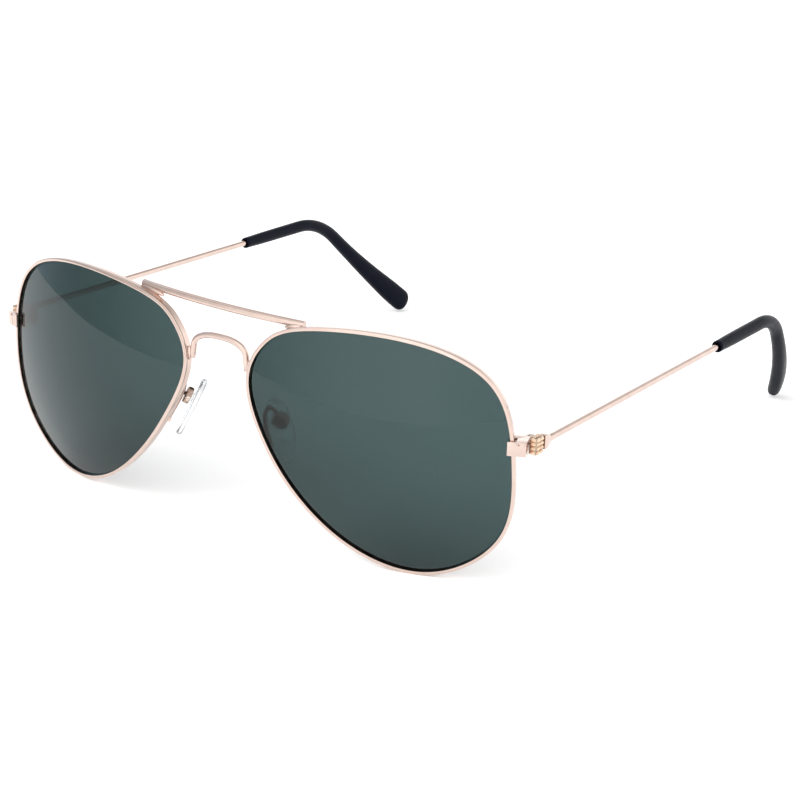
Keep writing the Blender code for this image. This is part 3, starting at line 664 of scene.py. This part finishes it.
END_HEIGHT = 2.8 * MM
END_LENGTH = 3.0 * MM
END_OVERHANG = 0.7 * MM
END_SKIN = 0.5 * MM
END_BACK = 1.9 * MM
END_CLEARANCE = 0.2 * MM
END_RAISE = 0.45 * MM
END_ROOF = 0.3 * MM
END_ROOF_BACK = 3.9 * MM
PART_GAP = 0.1 * MM
BLOCK_WIDTH = 1.7 * MM
BLOCK_DEPTH = 1.9 * MM
BLOCK_HEIGHT = 1.3 * MM
RIM_SPLIT_GAP = 0.3 * MM
SCREW_RADIUS = 0.6 * MM
SCREW_HEAD_RADIUS = 0.95 * MM
SCREW_HEAD_HEIGHT = 0.5 * MM
SCREW_SEAT = 0.03 * MM
BORE_RADIUS = 0.66 * MM
POST_FRONT = 1.6 * MM
POST_SIDE = 2.7 * MM
POST_HEIGHT = 3.5 * MM
POST_X = 64.85 * MM
POST_Y = 12.15 * MM
POST_Z = 6.0 * MM
POST_ROWS = 4
STUD_SUNK = 0.05 * MM
STUD_HEIGHT = 0.40 * MM
STUD_SHARE = 0.50  # stud radius as a share of the step between rows
CREVICE_SHADE = 0.55


def end_frame():
    place = edge_frame(SPLIT)
    start = edge_to_world(place, 0.0, 0.0)
    outward = edge_to_world(place, 1.0, 0.0) - start
    back = edge_to_world(place, 0.0, 1.0) - start
    outward.z = 0.0
    back.z = 0.0
    return axes_matrix(outward, back, start)


def make_endpiece():
    """Plate that laps over the rim, with soft edges and a small sunk rivet near its top."""
    outline = rounded((
        (-END_OVERHANG, -PART_GAP, 0.03 * MM),
        (-END_OVERHANG, -PART_GAP - END_SKIN, 0.12 * MM),
        (1.1 * MM, -PART_GAP - END_SKIN, 0.3 * MM),
        (1.35 * MM, -PART_GAP - END_SKIN + 0.1 * MM, 0.2 * MM),
        (END_LENGTH, -PART_GAP - END_SKIN + 0.1 * MM, 0.15 * MM),
        (END_LENGTH, END_BACK, 0.1 * MM),
        (RIM_WIDTH + END_CLEARANCE, END_BACK, 0.1 * MM),
        (RIM_WIDTH + END_CLEARANCE, -PART_GAP, 0.03 * MM),
    ), 3)
    place = end_frame()
    half = END_HEIGHT / 2
    rings = [[place @ Vector((x, y, END_RAISE + z)) for x, y in outline] for z in (-half, half)]
    plate = finish_mesh(loft_mesh(rings), "endpiece_left_plate", METAL)
    inner = RIM_WIDTH + END_CLEARANCE
    roof_outline = (
        (inner, -PART_GAP - END_SKIN + 0.05 * MM), (END_LENGTH - 0.02 * MM, -PART_GAP - END_SKIN + 0.15 * MM),
        (END_LENGTH - 0.02 * MM, END_ROOF_BACK), (0.1 * MM, END_ROOF_BACK),
        (0.1 * MM, RIM_DEPTH + 0.15 * MM), (inner, RIM_DEPTH + 0.15 * MM),
    )
    top = END_RAISE + half
    roof = [[place @ Vector((x, y, z)) for x, y in roof_outline] for z in (top - END_ROOF, top - 0.01 * MM)]
    plate = boolean(plate, finish_mesh(loft_mesh(roof), "roof", METAL), "UNION")
    plate = bevelled(plate, 0.08 * MM)
    pit = place @ Matrix.Translation((1.55 * MM, -PART_GAP - END_SKIN, END_RAISE + 0.98 * MM))
    drill = cylinder("pit", 0.26 * MM, 1.0 * MM, pit @ Matrix.Rotation(math.pi / 2, 4, "X"), METAL)
    plate = boolean(plate, drill, "DIFFERENCE")
    deep = pit @ Vector((0.0, 0.45 * MM, 0.0))
    return solder_and_shade_near(plate, [deep, deep], 0.55 * MM)


def stud_mesh(bm, matrix, radius, height):
    """Cut stud: an eight-sided girdle, a band of turned facets and a small flat table."""
    levels = ((1.0, 0.0, 0.0), (1.0, 0.18, 0.0), (0.80, 0.62, 0.5), (0.42, 1.0, 0.0))
    rows = []
    for share, rise, turn in levels:
        row = []
        for k in range(8):
            angle = math.tau * (k + turn) / 8
            x, y = radius * share * math.cos(angle), radius * share * math.sin(angle)
            row.append(bm.verts.new(matrix @ Vector((x, y, height * rise))))
        rows.append(row)
    for first, second in zip(rows, rows[1:]):
        for i in range(8):
            j = (i + 1) % 8
            bm.faces.new((first[i], first[j], second[j]))
            bm.faces.new((first[i], second[j], second[i]))
    bm.faces.new(rows[0])
    bm.faces.new(rows[-1])


def make_ornament():
    """Post with a column of cut studs on its front, two on its outer side and a row on its top; the post and
    the lower front studs carry painted shade.
    """
    bm = bmesh.new()
    core = Matrix.Translation(at_front(POST_X + POST_FRONT / 2, POST_Y + POST_SIDE / 2, POST_Z))
    bmesh.ops.create_cube(bm, size=1.0)
    bmesh.ops.scale(bm, vec=(POST_FRONT, POST_SIDE, POST_HEIGHT), verts=bm.verts)
    bmesh.ops.transform(bm, matrix=core, verts=bm.verts)
    bmesh.ops.bevel(
        bm, geom=list(bm.edges), offset=0.18 * MM, segments=2, affect="EDGES", profile=0.5
    )
    post = finish_mesh(bm, "ornament_left_post", ORNAMENT)
    step = POST_HEIGHT / POST_ROWS
    bm = bmesh.new()
    face_front = Matrix.Rotation(math.pi / 2, 4, "X")
    face_side = Matrix.Rotation(math.pi / 2, 4, "Y")
    for row in range(POST_ROWS):
        z = POST_Z + step * (row + 0.5 - POST_ROWS / 2)
        front = Matrix.Translation(at_front(POST_X + POST_FRONT / 2, POST_Y + STUD_SUNK, z)) @ face_front
        stud_mesh(bm, front @ Matrix.Diagonal((1.5, 1.0, 1.0, 1.0)), STUD_SHARE * step, STUD_HEIGHT)
        for share in (0.27, 0.75):
            place = at_front(POST_X + POST_FRONT - STUD_SUNK, POST_Y + POST_SIDE * share, z)
            side = Matrix.Translation(place) @ face_side
            stud_mesh(bm, side @ Matrix.Diagonal((1.0, 1.25, 1.0, 1.0)), STUD_SHARE * step, STUD_HEIGHT)
    for share in (0.2, 0.5, 0.8):
        top = POST_Z + POST_HEIGHT / 2 - STUD_SUNK
        place = at_front(POST_X + POST_FRONT / 2, POST_Y + POST_SIDE * share, top)
        stud_mesh(bm, Matrix.Translation(place), 0.36 * MM, 0.3 * MM)
    studs = finish_mesh(bm, "ornament_left_studs", ORNAMENT, 5.0)
    # Painted shade: the whole post goes towards dark brown, so that the crevices between the studs look
    # shaded.
    crevice = post.data.attributes.new("shade", "FLOAT", "POINT")
    crevice.data.foreach_set("value", np.full(len(post.data.vertices), CREVICE_SHADE, dtype=np.float32))
    # Painted shade: a darker, redder tone on the lower studs at the front, where they meet the endpiece
    # plate.
    shaded_front_spot = [at_front(POST_X + 0.2 * MM, POST_Y, POST_Z - 0.9 * MM)]
    return post, solder_and_shade_near(studs, shaded_front_spot, 1.5 * MM)


def slotted_screw(name, radius, head_radius, head_height, length, seat):
    """Turned screw with a domed head and a driver slot; the head sits on the seat's Z = 0."""
    profile = [(0.0, head_height)]
    for k in range(1, 7):
        angle = math.pi / 2 * k / 6
        profile.append((head_radius * math.sin(angle), head_height * (0.45 + 0.55 * math.cos(angle))))
    profile += [(head_radius, 0.0), (radius, 0.0), (radius, radius / 2 - length), (radius / 2, -length)]
    screw = turned(name, profile + [(0.0, -length)], seat, SCREW)
    slot = block("slot", (3 * head_radius, 0.3 * head_radius, head_height),
                 seat @ Matrix.Translation((0.0, 0.0, head_height)), SCREW)
    return solder_and_shade_near(boolean(screw, slot, "DIFFERENCE"), [seat.translation], NO_REACH)


def make_closing_pieces():
    place = end_frame()
    middle = Vector((BLOCK_WIDTH / 2, RIM_DEPTH + PART_GAP + BLOCK_DEPTH / 2, 0.0))
    pieces = []
    for name, way in (("upper", 1), ("lower", -1)):
        offset = Vector((0.0, 0.0, way * (BLOCK_HEIGHT + RIM_SPLIT_GAP) / 2))
        body = block(
            f"closing_block_{name}_left_body", (BLOCK_WIDTH, BLOCK_DEPTH, BLOCK_HEIGHT),
            place @ Matrix.Translation(middle + offset), METAL,
        )
        body = bevelled(body, 0.16 * MM, 3)
        drill = cylinder("drill", BORE_RADIUS, 8 * MM, place @ Matrix.Translation(middle), METAL)
        body = boolean(body, drill, "DIFFERENCE")
        rim_side = place @ Vector((BLOCK_WIDTH / 2, RIM_DEPTH, 0.0))
        pieces.append((solder_and_shade_near(body, [rim_side], 1.3 * MM), f"closing_block_{name}_left", "rose_gold"))
    under = BLOCK_HEIGHT + RIM_SPLIT_GAP / 2 + SCREW_SEAT
    seat = place @ Matrix.Translation(middle - Vector((0, 0, under))) @ Matrix.Rotation(math.pi, 4, "X")
    screw = slotted_screw(
        "closing_screw_left_turned", SCREW_RADIUS, SCREW_HEAD_RADIUS, SCREW_HEAD_HEIGHT, 2 * under, seat
    )
    pieces.append((screw, "closing_screw_left", "screw_metal"))
    return pieces


# ---- Temple hinge -----------------------------------------------------------------------------------

KNUCKLE_RADIUS = 1.1 * MM
KNUCKLE_HEIGHT = 0.85 * MM
KNUCKLE_GAP = 0.08 * MM
LEAF_THICKNESS = 0.9 * MM
LEAF_FOOT = 1.2 * MM
TEMPLE_X = 65.9 * MM
TEMPLE_Y = 14.4 * MM
TEMPLE_Z = 6.1 * MM
START_BLOCK = (1.5 * MM, 2.6 * MM, 2.9 * MM)
START_BLOCK_Y = 16.6 * MM
HALF_HINGE = 1.5 * KNUCKLE_HEIGHT + KNUCKLE_GAP


def knuckle(level):
    centre = hinge_place + Vector((0, 0, level * (KNUCKLE_HEIGHT + KNUCKLE_GAP)))
    return cylinder("knuckle", KNUCKLE_RADIUS, KNUCKLE_HEIGHT, Matrix.Translation(centre), METAL, 0.08 * MM)


def bored(obj):
    drill = cylinder("drill", BORE_RADIUS, 10 * MM, Matrix.Translation(hinge_place), METAL)
    return solder_and_shade_near(boolean(obj, drill, "DIFFERENCE"), [hinge_place], NO_REACH)


def make_front_hinge():
    place = end_frame()
    foot = [place @ Vector((x, END_BACK + PART_GAP, 0.0)) for x in (END_LENGTH - LEAF_FOOT, END_LENGTH)]
    root = [hinge_place + Vector((x, 0.0, 0.0)) for x in (0.5 * LEAF_THICKNESS, -0.5 * LEAF_THICKNESS)]
    rings = [
        [Vector((p.x, p.y, hinge_place.z + z)) for p in foot + root] for z in (-HALF_HINGE, HALF_HINGE)
    ]
    leaf = bevelled(finish_mesh(loft_mesh(rings), "front_hinge_left_leaf", METAL), 0.1 * MM)
    for level in (1, -1):
        leaf = boolean(leaf, knuckle(level), "UNION")
    room = (4 * KNUCKLE_RADIUS, 2 * KNUCKLE_RADIUS + 0.5 * MM, KNUCKLE_HEIGHT + 2 * KNUCKLE_GAP)
    leaf = boolean(leaf, block("notch", room, Matrix.Translation(hinge_place), METAL), "DIFFERENCE")
    return bored(leaf)


def make_temple_hinge():
    length = TEMPLE_X - START_BLOCK[0] / 2 - PART_GAP - HINGE_X
    centre = hinge_place + Vector((length / 2, KNUCKLE_RADIUS - LEAF_THICKNESS / 2, 0.0))
    size = (length, LEAF_THICKNESS, KNUCKLE_HEIGHT)
    tongue = block("temple_hinge_left_tongue", size, Matrix.Translation(centre), METAL)
    tongue = bevelled(tongue, 0.08 * MM)
    return bored(boolean(tongue, knuckle(0), "UNION"))


def make_hinge_screw():
    under = HALF_HINGE + SCREW_SEAT
    seat = Matrix.Translation(hinge_place - Vector((0, 0, under))) @ Matrix.Rotation(math.pi, 4, "X")
    return slotted_screw(
        "hinge_screw_left_turned", SCREW_RADIUS, SCREW_HEAD_RADIUS, SCREW_HEAD_HEIGHT, 2 * under, seat
    )


# ---- Temples and tips -------------------------------------------------------------------------------

TEMPLE_DROP = math.radians(0.76)
TEMPLE_TOE_IN = math.radians(0.7)
TEMPLE_STRAIGHT = 103.5 * MM
BEND_RADIUS = 21.0 * MM
BEND_ANGLE = math.radians(42.7)
CURL_START = 101.0 * MM
CURL_RADIUS = 140.0 * MM
TEMPLE_LENGTH = 152.3 * MM
WIRE_RADIUS = 0.7 * MM
WIRE_START = 2.0 * MM
WIRE_IN_TIP = 144.0 * MM
TIP_MOUTH = 80.5 * MM
TIP_ROUND = 2.3 * MM
TIP_FLAT_START = 118.0 * MM
TIP_FLAT_LENGTH = 24.0 * MM
TIP_RINGS = 110
# Length along the temple, half width and half height of the tip, in millimetres
TIP_SECTIONS = (
    (80.5, 1.25, 1.30),
    (88.0, 1.40, 1.45),
    (110.0, 1.45, 1.50),
    (126.0, 1.55, 1.75),
    (138.0, 1.65, 2.35),
    (146.0, 1.70, 2.90),
    (152.3, 1.60, 2.90),
)


def temple_stations(step=0.25 * MM):
    point = at_front(TEMPLE_X, TEMPLE_Y, TEMPLE_Z)
    lengths, places, ways = [], [], []
    for k in range(round(TEMPLE_LENGTH / step) + 1):
        s = k * step
        pitch = TEMPLE_DROP + min(max(s - TEMPLE_STRAIGHT, 0.0) / BEND_RADIUS, BEND_ANGLE)
        curl = TEMPLE_TOE_IN + max(s - CURL_START, 0.0) / CURL_RADIUS
        level = math.cos(curl)
        way = Vector((-math.sin(curl), level * math.cos(pitch), -level * math.sin(pitch)))
        lengths.append(s)
        places.append(point.copy())
        ways.append(way)
        point += way * step
    return np.array(lengths), np.array(places), np.array(ways)


STATIONS = temple_stations()


def path_at(length):
    s, places, ways = STATIONS
    place = Vector([np.interp(length, s, places[:, axis]) for axis in range(3)])
    way = Vector([np.interp(length, s, ways[:, axis]) for axis in range(3)]).normalized()
    return place, way


def make_temple_wire():
    lengths = np.concatenate([np.linspace(WIRE_START, 100 * MM, 30), np.linspace(101 * MM, WIRE_IN_TIP, 60)])
    wire = sweep("temple_left_wire", [path_at(s)[0] for s in lengths], WIRE_RADIUS, METAL, 28, 0.5)
    return solder_and_shade_near(wire, [path_at(WIRE_START)[0]], 1.8 * MM)


def make_start_block():
    """Short wedge that joins the wire to the hinge, tapering to the wire with soft shoulders."""
    width, length, height = START_BLOCK
    centre = at_front(TEMPLE_X, START_BLOCK_Y, TEMPLE_Z)
    rings = []
    for share, narrow in ((-0.5, 1.0), (-0.1, 0.98), (0.2, 0.78), (0.5, 0.52)):
        half_x, half_z = width / 2 * (0.5 + 0.5 * narrow), height / 2 * narrow
        outline = rounded((
            (-half_x, -half_z, 0.18 * MM), (half_x, -half_z, 0.18 * MM),
            (half_x, half_z, 0.18 * MM), (-half_x, half_z, 0.18 * MM),
        ), 4)
        rings.append([centre + Vector((x, share * length, z)) for x, z in outline])
    wedge = bevelled(finish_mesh(loft_mesh(rings), "temple_left_start", METAL), 0.12 * MM, 3, 50.0)
    return solder_and_shade_near(wedge, [centre + Vector((0, -length / 2, 0))], 0.9 * MM)


def half_sizes(length):
    table = np.array(TIP_SECTIONS) * MM
    return tuple(float(np.interp(length, table[:, 0], table[:, column])) for column in (1, 2))


def smooth_half_sizes(length):
    """Half sizes averaged over a few millimetres, so that the moulding has no creases."""
    near = np.linspace(-3.0, 3.0, 7) * MM
    sizes = [half_sizes(min(max(length + d, TIP_MOUTH), TEMPLE_LENGTH)) for d in near]
    return tuple(sum(s[k] for s in sizes) / len(sizes) for k in range(2))


def tip_ring(place, way, half_side, half_height, squareness, sides=36):
    side = (Vector((1.0, 0.0, 0.0)) - way * way.x).normalized()
    up = side.cross(way)
    ring = []
    for k in range(sides):
        angle = math.tau * k / sides
        c, s = math.cos(angle), math.sin(angle)
        x = math.copysign(abs(c) ** squareness, c)
        y = math.copysign(abs(s) ** squareness, s)
        ring.append(place + side * half_side * x + up * half_height * y)
    return ring


def make_temple_tip():
    """Moulded sleeve: rolled mouth round the wire, then a flattening paddle with a round end."""
    rings = []
    bore = WIRE_RADIUS + 0.12 * MM
    for depth, radius in ((4.0, bore), (0.35, bore), (0.12, bore + 0.06 * MM), (0.0, bore + 0.2 * MM)):
        place, way = path_at(TIP_MOUTH + depth * MM)
        rings.append(tip_ring(place, way, radius, radius, 1.0))
    place, way = path_at(TIP_MOUTH)
    side, height = smooth_half_sizes(TIP_MOUTH)
    rings.append(tip_ring(place, way, side - 0.15 * MM, height - 0.15 * MM, 1.0))
    shoulder = TEMPLE_LENGTH - TIP_ROUND
    for length in np.linspace(TIP_MOUTH + 0.18 * MM, shoulder, TIP_RINGS):
        place, way = path_at(length)
        side, height = smooth_half_sizes(length)
        flatness = min(max((length - TIP_FLAT_START) / TIP_FLAT_LENGTH, 0.0), 1.0)
        rings.append(tip_ring(place, way, side, height, 1.0 - 0.22 * flatness))
    end_place, end_way = path_at(shoulder)
    side, height = smooth_half_sizes(shoulder)
    for degrees in range(9, 90, 9):
        lean = math.radians(degrees)
        place = end_place + end_way * TIP_ROUND * math.sin(lean)
        small = math.cos(lean) ** 0.85
        rings.append(tip_ring(place, end_way, side * small, height * small, 0.78 + 0.2 * degrees / 90))
    return finish_mesh(loft_mesh(rings), "temple_tip_left_moulding", TIP, 60.0)


# ---- Nose pads --------------------------------------------------------------------------------------

PAD_CENTRE = (11.3 * MM, 5.8 * MM, -1.6 * MM)
PAD_SPLAY = math.radians(32.0)
PAD_FLARE = math.radians(25.0)
PAD_LENGTH = 13.2 * MM
PAD_WIDTH = 6.6 * MM
PAD_THICKNESS = 1.4 * MM
PAD_BOSS_RAISE = 1.9 * MM
PAD_BOSS_WIDTH = 1.0 * MM
PAD_BOSS_HEIGHT = 1.6 * MM
PAD_BOSS_END = 1.95 * MM
PAD_AXIS_DEPTH = 1.55 * MM
PAD_BOX_RADIUS = 1.8 * MM
PAD_BOX_FRONT = 0.95 * MM
PAD_BOX_BACK = 2.45 * MM
PAD_SLOT_WIDTH = 1.2 * MM
PAD_SLOT_END = 2.1 * MM
ARM_RADIUS = 0.45 * MM
ARM_TURN = 6.1
ARM_LOOP = ((10.95, 1.6, 1.7), (10.8, 2.5, 3.9), (11.4, 3.6, 3.7), (12.2, 4.2, 2.2))


def pad_matrix():
    toward_nose = Vector((
        -math.cos(PAD_SPLAY) * math.cos(PAD_FLARE),
        math.sin(PAD_SPLAY) * math.cos(PAD_FLARE),
        -math.sin(PAD_FLARE),
    ))
    width = Vector((-math.sin(PAD_SPLAY), -math.cos(PAD_SPLAY), 0.0))
    return axes_matrix(width, toward_nose.cross(width), at_front(*PAD_CENTRE))


def behind_pad(depth):
    return pad_matrix() @ Matrix.Translation((0.0, PAD_BOSS_RAISE, -depth))


def pad_outline(x_scale, y_scale, steps=72):
    ring = []
    for k in range(steps):
        angle = math.tau * k / steps
        x = math.copysign(abs(math.cos(angle)) ** 0.85, math.cos(angle))
        y = math.copysign(abs(math.sin(angle)) ** 0.9, math.sin(angle))
        fullness = 1.0 - 0.12 * y
        ring.append((x * fullness * x_scale * PAD_WIDTH / 2, y * y_scale * PAD_LENGTH / 2))
    return ring


def make_nose_pad():
    """Clear moulded pad with a soft rolled edge and a boss behind it that fits the box."""
    place = pad_matrix()
    rings = []
    levels = [(-0.5, 0.30), (-0.5, 0.62)]
    for k in range(9):
        lean = math.pi * (k / 8 - 0.5)
        levels.append((0.5 * math.sin(lean), 0.82 + 0.18 * math.cos(lean)))
    levels += [(0.46, 0.62), (0.44, 0.30)]
    for level, scale in levels:
        outline = pad_outline(scale, scale ** 0.6)
        rings.append([place @ Vector((x, y, level * PAD_THICKNESS)) for x, y in outline])
    pad = finish_mesh(loft_mesh(rings), "nose_pad_left_moulding", PAD, 60.0)
    size = (PAD_BOSS_WIDTH, PAD_BOSS_HEIGHT, PAD_BOSS_END)
    boss = bevelled(block("boss", size, behind_pad(PAD_BOSS_END / 2), PAD), 0.15 * MM)
    return boolean(pad, boss, "UNION")


def make_pad_box():
    """Round cup behind the pad, slotted for its boss."""
    middle = behind_pad((PAD_BOX_FRONT + PAD_BOX_BACK) / 2)
    depth = PAD_BOX_BACK - PAD_BOX_FRONT
    cup = cylinder("pad_box_left_cup", PAD_BOX_RADIUS, depth, middle, SHADED_PAD_METAL, 0.35 * MM)
    size = (PAD_SLOT_WIDTH, 4 * PAD_BOX_RADIUS, 2 * (PAD_SLOT_END - PAD_BOX_FRONT))
    cup = boolean(cup, block("slot", size, behind_pad(PAD_BOX_FRONT), SHADED_PAD_METAL), "DIFFERENCE")
    return solder_and_shade_near(cup, [behind_pad(PAD_BOX_BACK).translation], 1.4 * MM)


def make_pad_screw():
    seat = behind_pad(PAD_AXIS_DEPTH) @ Matrix.Rotation(math.pi / 2, 4, "Y")
    seat = seat @ Matrix.Translation((0.0, 0.0, PAD_BOX_RADIUS + 0.02 * MM))
    return slotted_screw("pad_screw_left_turned", 0.4 * MM, 0.6 * MM, 0.3 * MM, 2 * PAD_BOX_RADIUS, seat)


def make_pad_arm():
    start = rim_point(ARM_TURN, RIM_WIDTH / 2, RIM_DEPTH + 0.5 * ARM_RADIUS)
    loop = [at_front(*(value * MM for value in place)) for place in ARM_LOOP]
    box_back = behind_pad(PAD_BOX_BACK + 0.6 * ARM_RADIUS).translation
    path = smooth_path([start, *loop, box_back], 14)
    arm = sweep("pad_arm_left_wire", path, ARM_RADIUS, SHADED_PAD_METAL, 24, 0.6)
    arm = solder_and_shade_near(arm, [start, box_back], 1.6 * MM)
    ends = [start + Vector((0.0, 0.0, z)) * MM for z in (-1.0, -0.5, 0.0, 0.5, 1.0)]
    bead = solder("pad_arm_solder_left", ends, 0.6 * MM, METAL)
    return arm, bead


# ---- Building and placing the pieces ----------------------------------------------------------------

def soldered_rim():
    rim = make_rim()
    feet = [
        at_front(*BRIDGE_FOOT),
        bar_point(16.5 * MM),
        rim_point(ARM_TURN, RIM_WIDTH / 2, RIM_DEPTH),
        rim_point(SPLIT, RIM_WIDTH, RIM_DEPTH),
    ]
    return solder_and_shade_near(rim, feet, 2.6 * MM)


placed(make_bridge(), "front", ["bridge"])
placed(make_brow_bar(), "front", ["brow_bar"])
both_sides(soldered_rim(), "front", ["rim_left"])
both_sides(make_lens(), "front", ["lens_left"])
both_sides(make_bridge_solder(), "front")
placed(make_bar_solder("bar_solder_left", 1, 14.6 * MM, 3.7 * MM), "front")
placed(make_bar_solder("bar_solder_right", -1, 15.4 * MM, 6.0 * MM), "front")
both_sides(make_endpiece(), "front", ["endpiece_left"])
ornament_post, ornament_studs = make_ornament()
both_sides(ornament_post, "front", ["corner_ornament_left"])
both_sides(ornament_studs, "front")
for piece, node, finish in make_closing_pieces():
    both_sides(piece, "front", [node])
both_sides(make_front_hinge(), "front", ["front_hinge_left"])
both_sides(make_hinge_screw(), "front", ["hinge_screw_left"])
both_sides(make_temple_hinge(), "temple_arm_left", ["temple_hinge_left"])
both_sides(make_temple_wire(), "temple_arm_left", ["temple_left"])
both_sides(make_start_block(), "temple_arm_left")
both_sides(make_temple_tip(), "temple_arm_left", ["temple_tip_left"])
both_sides(make_nose_pad(), "nose_pad_body_left", ["nose_pad_left"])
both_sides(make_pad_box(), "front", ["pad_box_left"])
both_sides(make_pad_screw(), "front", ["pad_screw_left"])
arm_wire, arm_solder = make_pad_arm()
both_sides(arm_wire, "front", ["pad_arm_left"])
both_sides(arm_solder, "front")


# ---- Floor, light and camera ------------------------------------------------------------------------

FLOOR_HALF_SIZE = 3.0
FLOOR_GLOW = 0.13
# Reflection card: x and y of each upright strip's edge, and its glow; then height and share of that glow
CARD_STATIONS = (
    (-0.40, 0.25, (0.9, 1.0, 1.2)),
    (-0.40, -0.02, (1.0, 1.2, 1.5)),
    (-0.36, -0.10, (0.85, 0.97, 1.1)),
    (-0.28, -0.16, (0.62, 0.66, 0.68)),
    (-0.16, -0.19, (0.66, 0.66, 0.66)),
    (-0.08, -0.20, (1.1, 1.1, 1.1)),
    (0.0, -0.19, (1.65, 1.65, 1.65)),
    (0.06, -0.19, (1.7, 1.7, 1.7)),
    (0.11, -0.21, (1.3, 1.3, 1.3)),
    (0.30, -0.24, (1.0, 1.0, 1.0)),
)
CARD_LEVELS = ((0.001, 1.0), (0.12, 1.0), (0.45, 0.8))
# Darker part of the sky: the way to its middle in degrees, cosines at its edge and where it is darkest
DIM_AZIMUTH = -165.0
DIM_ELEVATION = 58.0
DIM_EDGE = 0.60
DIM_FULL = 0.94
DIM_DEPTH = 0.58
WORLD_STRENGTH = 1.5


def make_floor():
    bm = bmesh.new()
    bmesh.ops.create_grid(bm, x_segments=8, y_segments=8, size=FLOOR_HALF_SIZE)
    material, tree, shader = node_material("pale_floor")
    tone = ranged(tree, noise(tree, 2.0), 0.0, 1.0)
    tree.links.new(mixed(tree, tone, (0.90, 0.90, 0.90), (0.92, 0.92, 0.92)), shader.inputs["Base Color"])
    shader.inputs["Roughness"].default_value = 0.9
    shader.inputs["Specular IOR Level"].default_value = 0.1
    shader.inputs["Emission Color"].default_value = (1.0, 1.0, 1.0, 1.0)
    shader.inputs["Emission Strength"].default_value = FLOOR_GLOW
    floor = finish_mesh(bm, "floor", material)


def direction(azimuth, elevation):
    """Unit vector: azimuth from straight ahead of the glasses towards +X, elevation from the floor."""
    a, e = math.radians(azimuth), math.radians(elevation)
    return (math.sin(a) * math.cos(e), -math.cos(a) * math.cos(e), math.sin(e))


def make_reflection_wall():
    """Curved card in front of the glasses, seen only in reflections: pale blue, then neutral, then bright."""
    bm = bmesh.new()
    glow = bm.verts.layers.float_color.new("glow")
    rows = []
    for height, share in CARD_LEVELS:
        row = []
        for x, y, colour in CARD_STATIONS:
            vert = bm.verts.new((x, y, height))
            vert[glow] = (*(value * share for value in colour), 1.0)
            row.append(vert)
        rows.append(row)
    for first, second in zip(rows, rows[1:]):
        for i in range(len(CARD_STATIONS) - 1):
            bm.faces.new((first[i], first[i + 1], second[i + 1], second[i]))
    mesh = bpy.data.meshes.new("reflection_wall")
    bm.to_mesh(mesh)
    bm.free()
    material = bpy.data.materials.new("card_glow")
    material.use_nodes = True
    tree = material.node_tree
    tree.nodes.clear()
    colour = tree.nodes.new("ShaderNodeAttribute")
    colour.attribute_name = "glow"
    emission = tree.nodes.new("ShaderNodeEmission")
    output = tree.nodes.new("ShaderNodeOutputMaterial")
    tree.links.new(colour.outputs["Color"], emission.inputs["Color"])
    tree.links.new(emission.outputs["Emission"], output.inputs["Surface"])
    mesh.materials.append(material)
    wall = bpy.data.objects.new("reflection_wall", mesh)
    bpy.context.scene.collection.objects.link(wall)
    wall.visible_camera = False
    wall.visible_diffuse = False
    wall.visible_transmission = False
    wall.visible_shadow = False


def make_world():
    """White studio with a broad darker area overhead towards the back."""
    world = bpy.data.worlds.new("studio")
    bpy.context.scene.world = world
    world.use_nodes = True
    tree = world.node_tree
    background = tree.nodes["Background"]
    coords = tree.nodes.new("ShaderNodeTexCoord")
    dot = tree.nodes.new("ShaderNodeVectorMath")
    dot.operation = "DOT_PRODUCT"
    tree.links.new(coords.outputs["Generated"], dot.inputs[0])
    dot.inputs[1].default_value = direction(DIM_AZIMUTH, DIM_ELEVATION)
    shade = ranged(tree, dot.outputs["Value"], 1.0, 1.0 - DIM_DEPTH, DIM_EDGE, DIM_FULL)
    tree.links.new(mixed(tree, shade, (0.0, 0.0, 0.0), (1.0, 1.0, 1.0)), background.inputs["Color"])
    background.inputs["Strength"].default_value = WORLD_STRENGTH


def add_softbox(name, place, target, size, power):
    light = bpy.data.lights.new(name, "AREA")
    light.shape = "RECTANGLE"
    light.size, light.size_y = size
    light.energy = power
    lamp = bpy.data.objects.new(name, light)
    lamp.location = place
    lamp.rotation_euler = (Vector(target) - Vector(place)).to_track_quat("-Z", "Y").to_euler()
    bpy.context.scene.collection.objects.link(lamp)


CAMERA_TARGET = (43.06 * MM, 0.18 * MM, 13.56 * MM)
CAMERA_DISTANCE = 413.13 * MM
CAMERA_AZIMUTH = 32.39
CAMERA_ELEVATION = 19.35
CAMERA_ROLL = math.radians(2.37)
CAMERA_FOCAL_MM = 98.19


def make_camera():
    back = Vector(direction(CAMERA_AZIMUTH, CAMERA_ELEVATION))
    level = Vector((0.0, 0.0, 1.0)).cross(back).normalized()
    upright = back.cross(level)
    right = level * math.cos(CAMERA_ROLL) + upright * math.sin(CAMERA_ROLL)
    up = back.cross(right)
    data = bpy.data.cameras.new("camera")
    data.lens = CAMERA_FOCAL_MM
    data.sensor_width = 36.0
    data.clip_start = 0.01
    camera = bpy.data.objects.new("camera", data)
    matrix = Matrix((right, up, back)).transposed().to_4x4()
    matrix.translation = at_front(*CAMERA_TARGET) + back * CAMERA_DISTANCE
    camera.matrix_world = matrix
    bpy.context.scene.collection.objects.link(camera)
    bpy.context.scene.camera = camera


make_floor()
make_world()
make_reflection_wall()
add_softbox("key", (-0.5, -0.9, 0.9), (0.0, 0.0, 0.02), (0.9, 0.6), 6.0)
make_camera()
bpy.context.scene.view_settings.view_transform = "Standard"
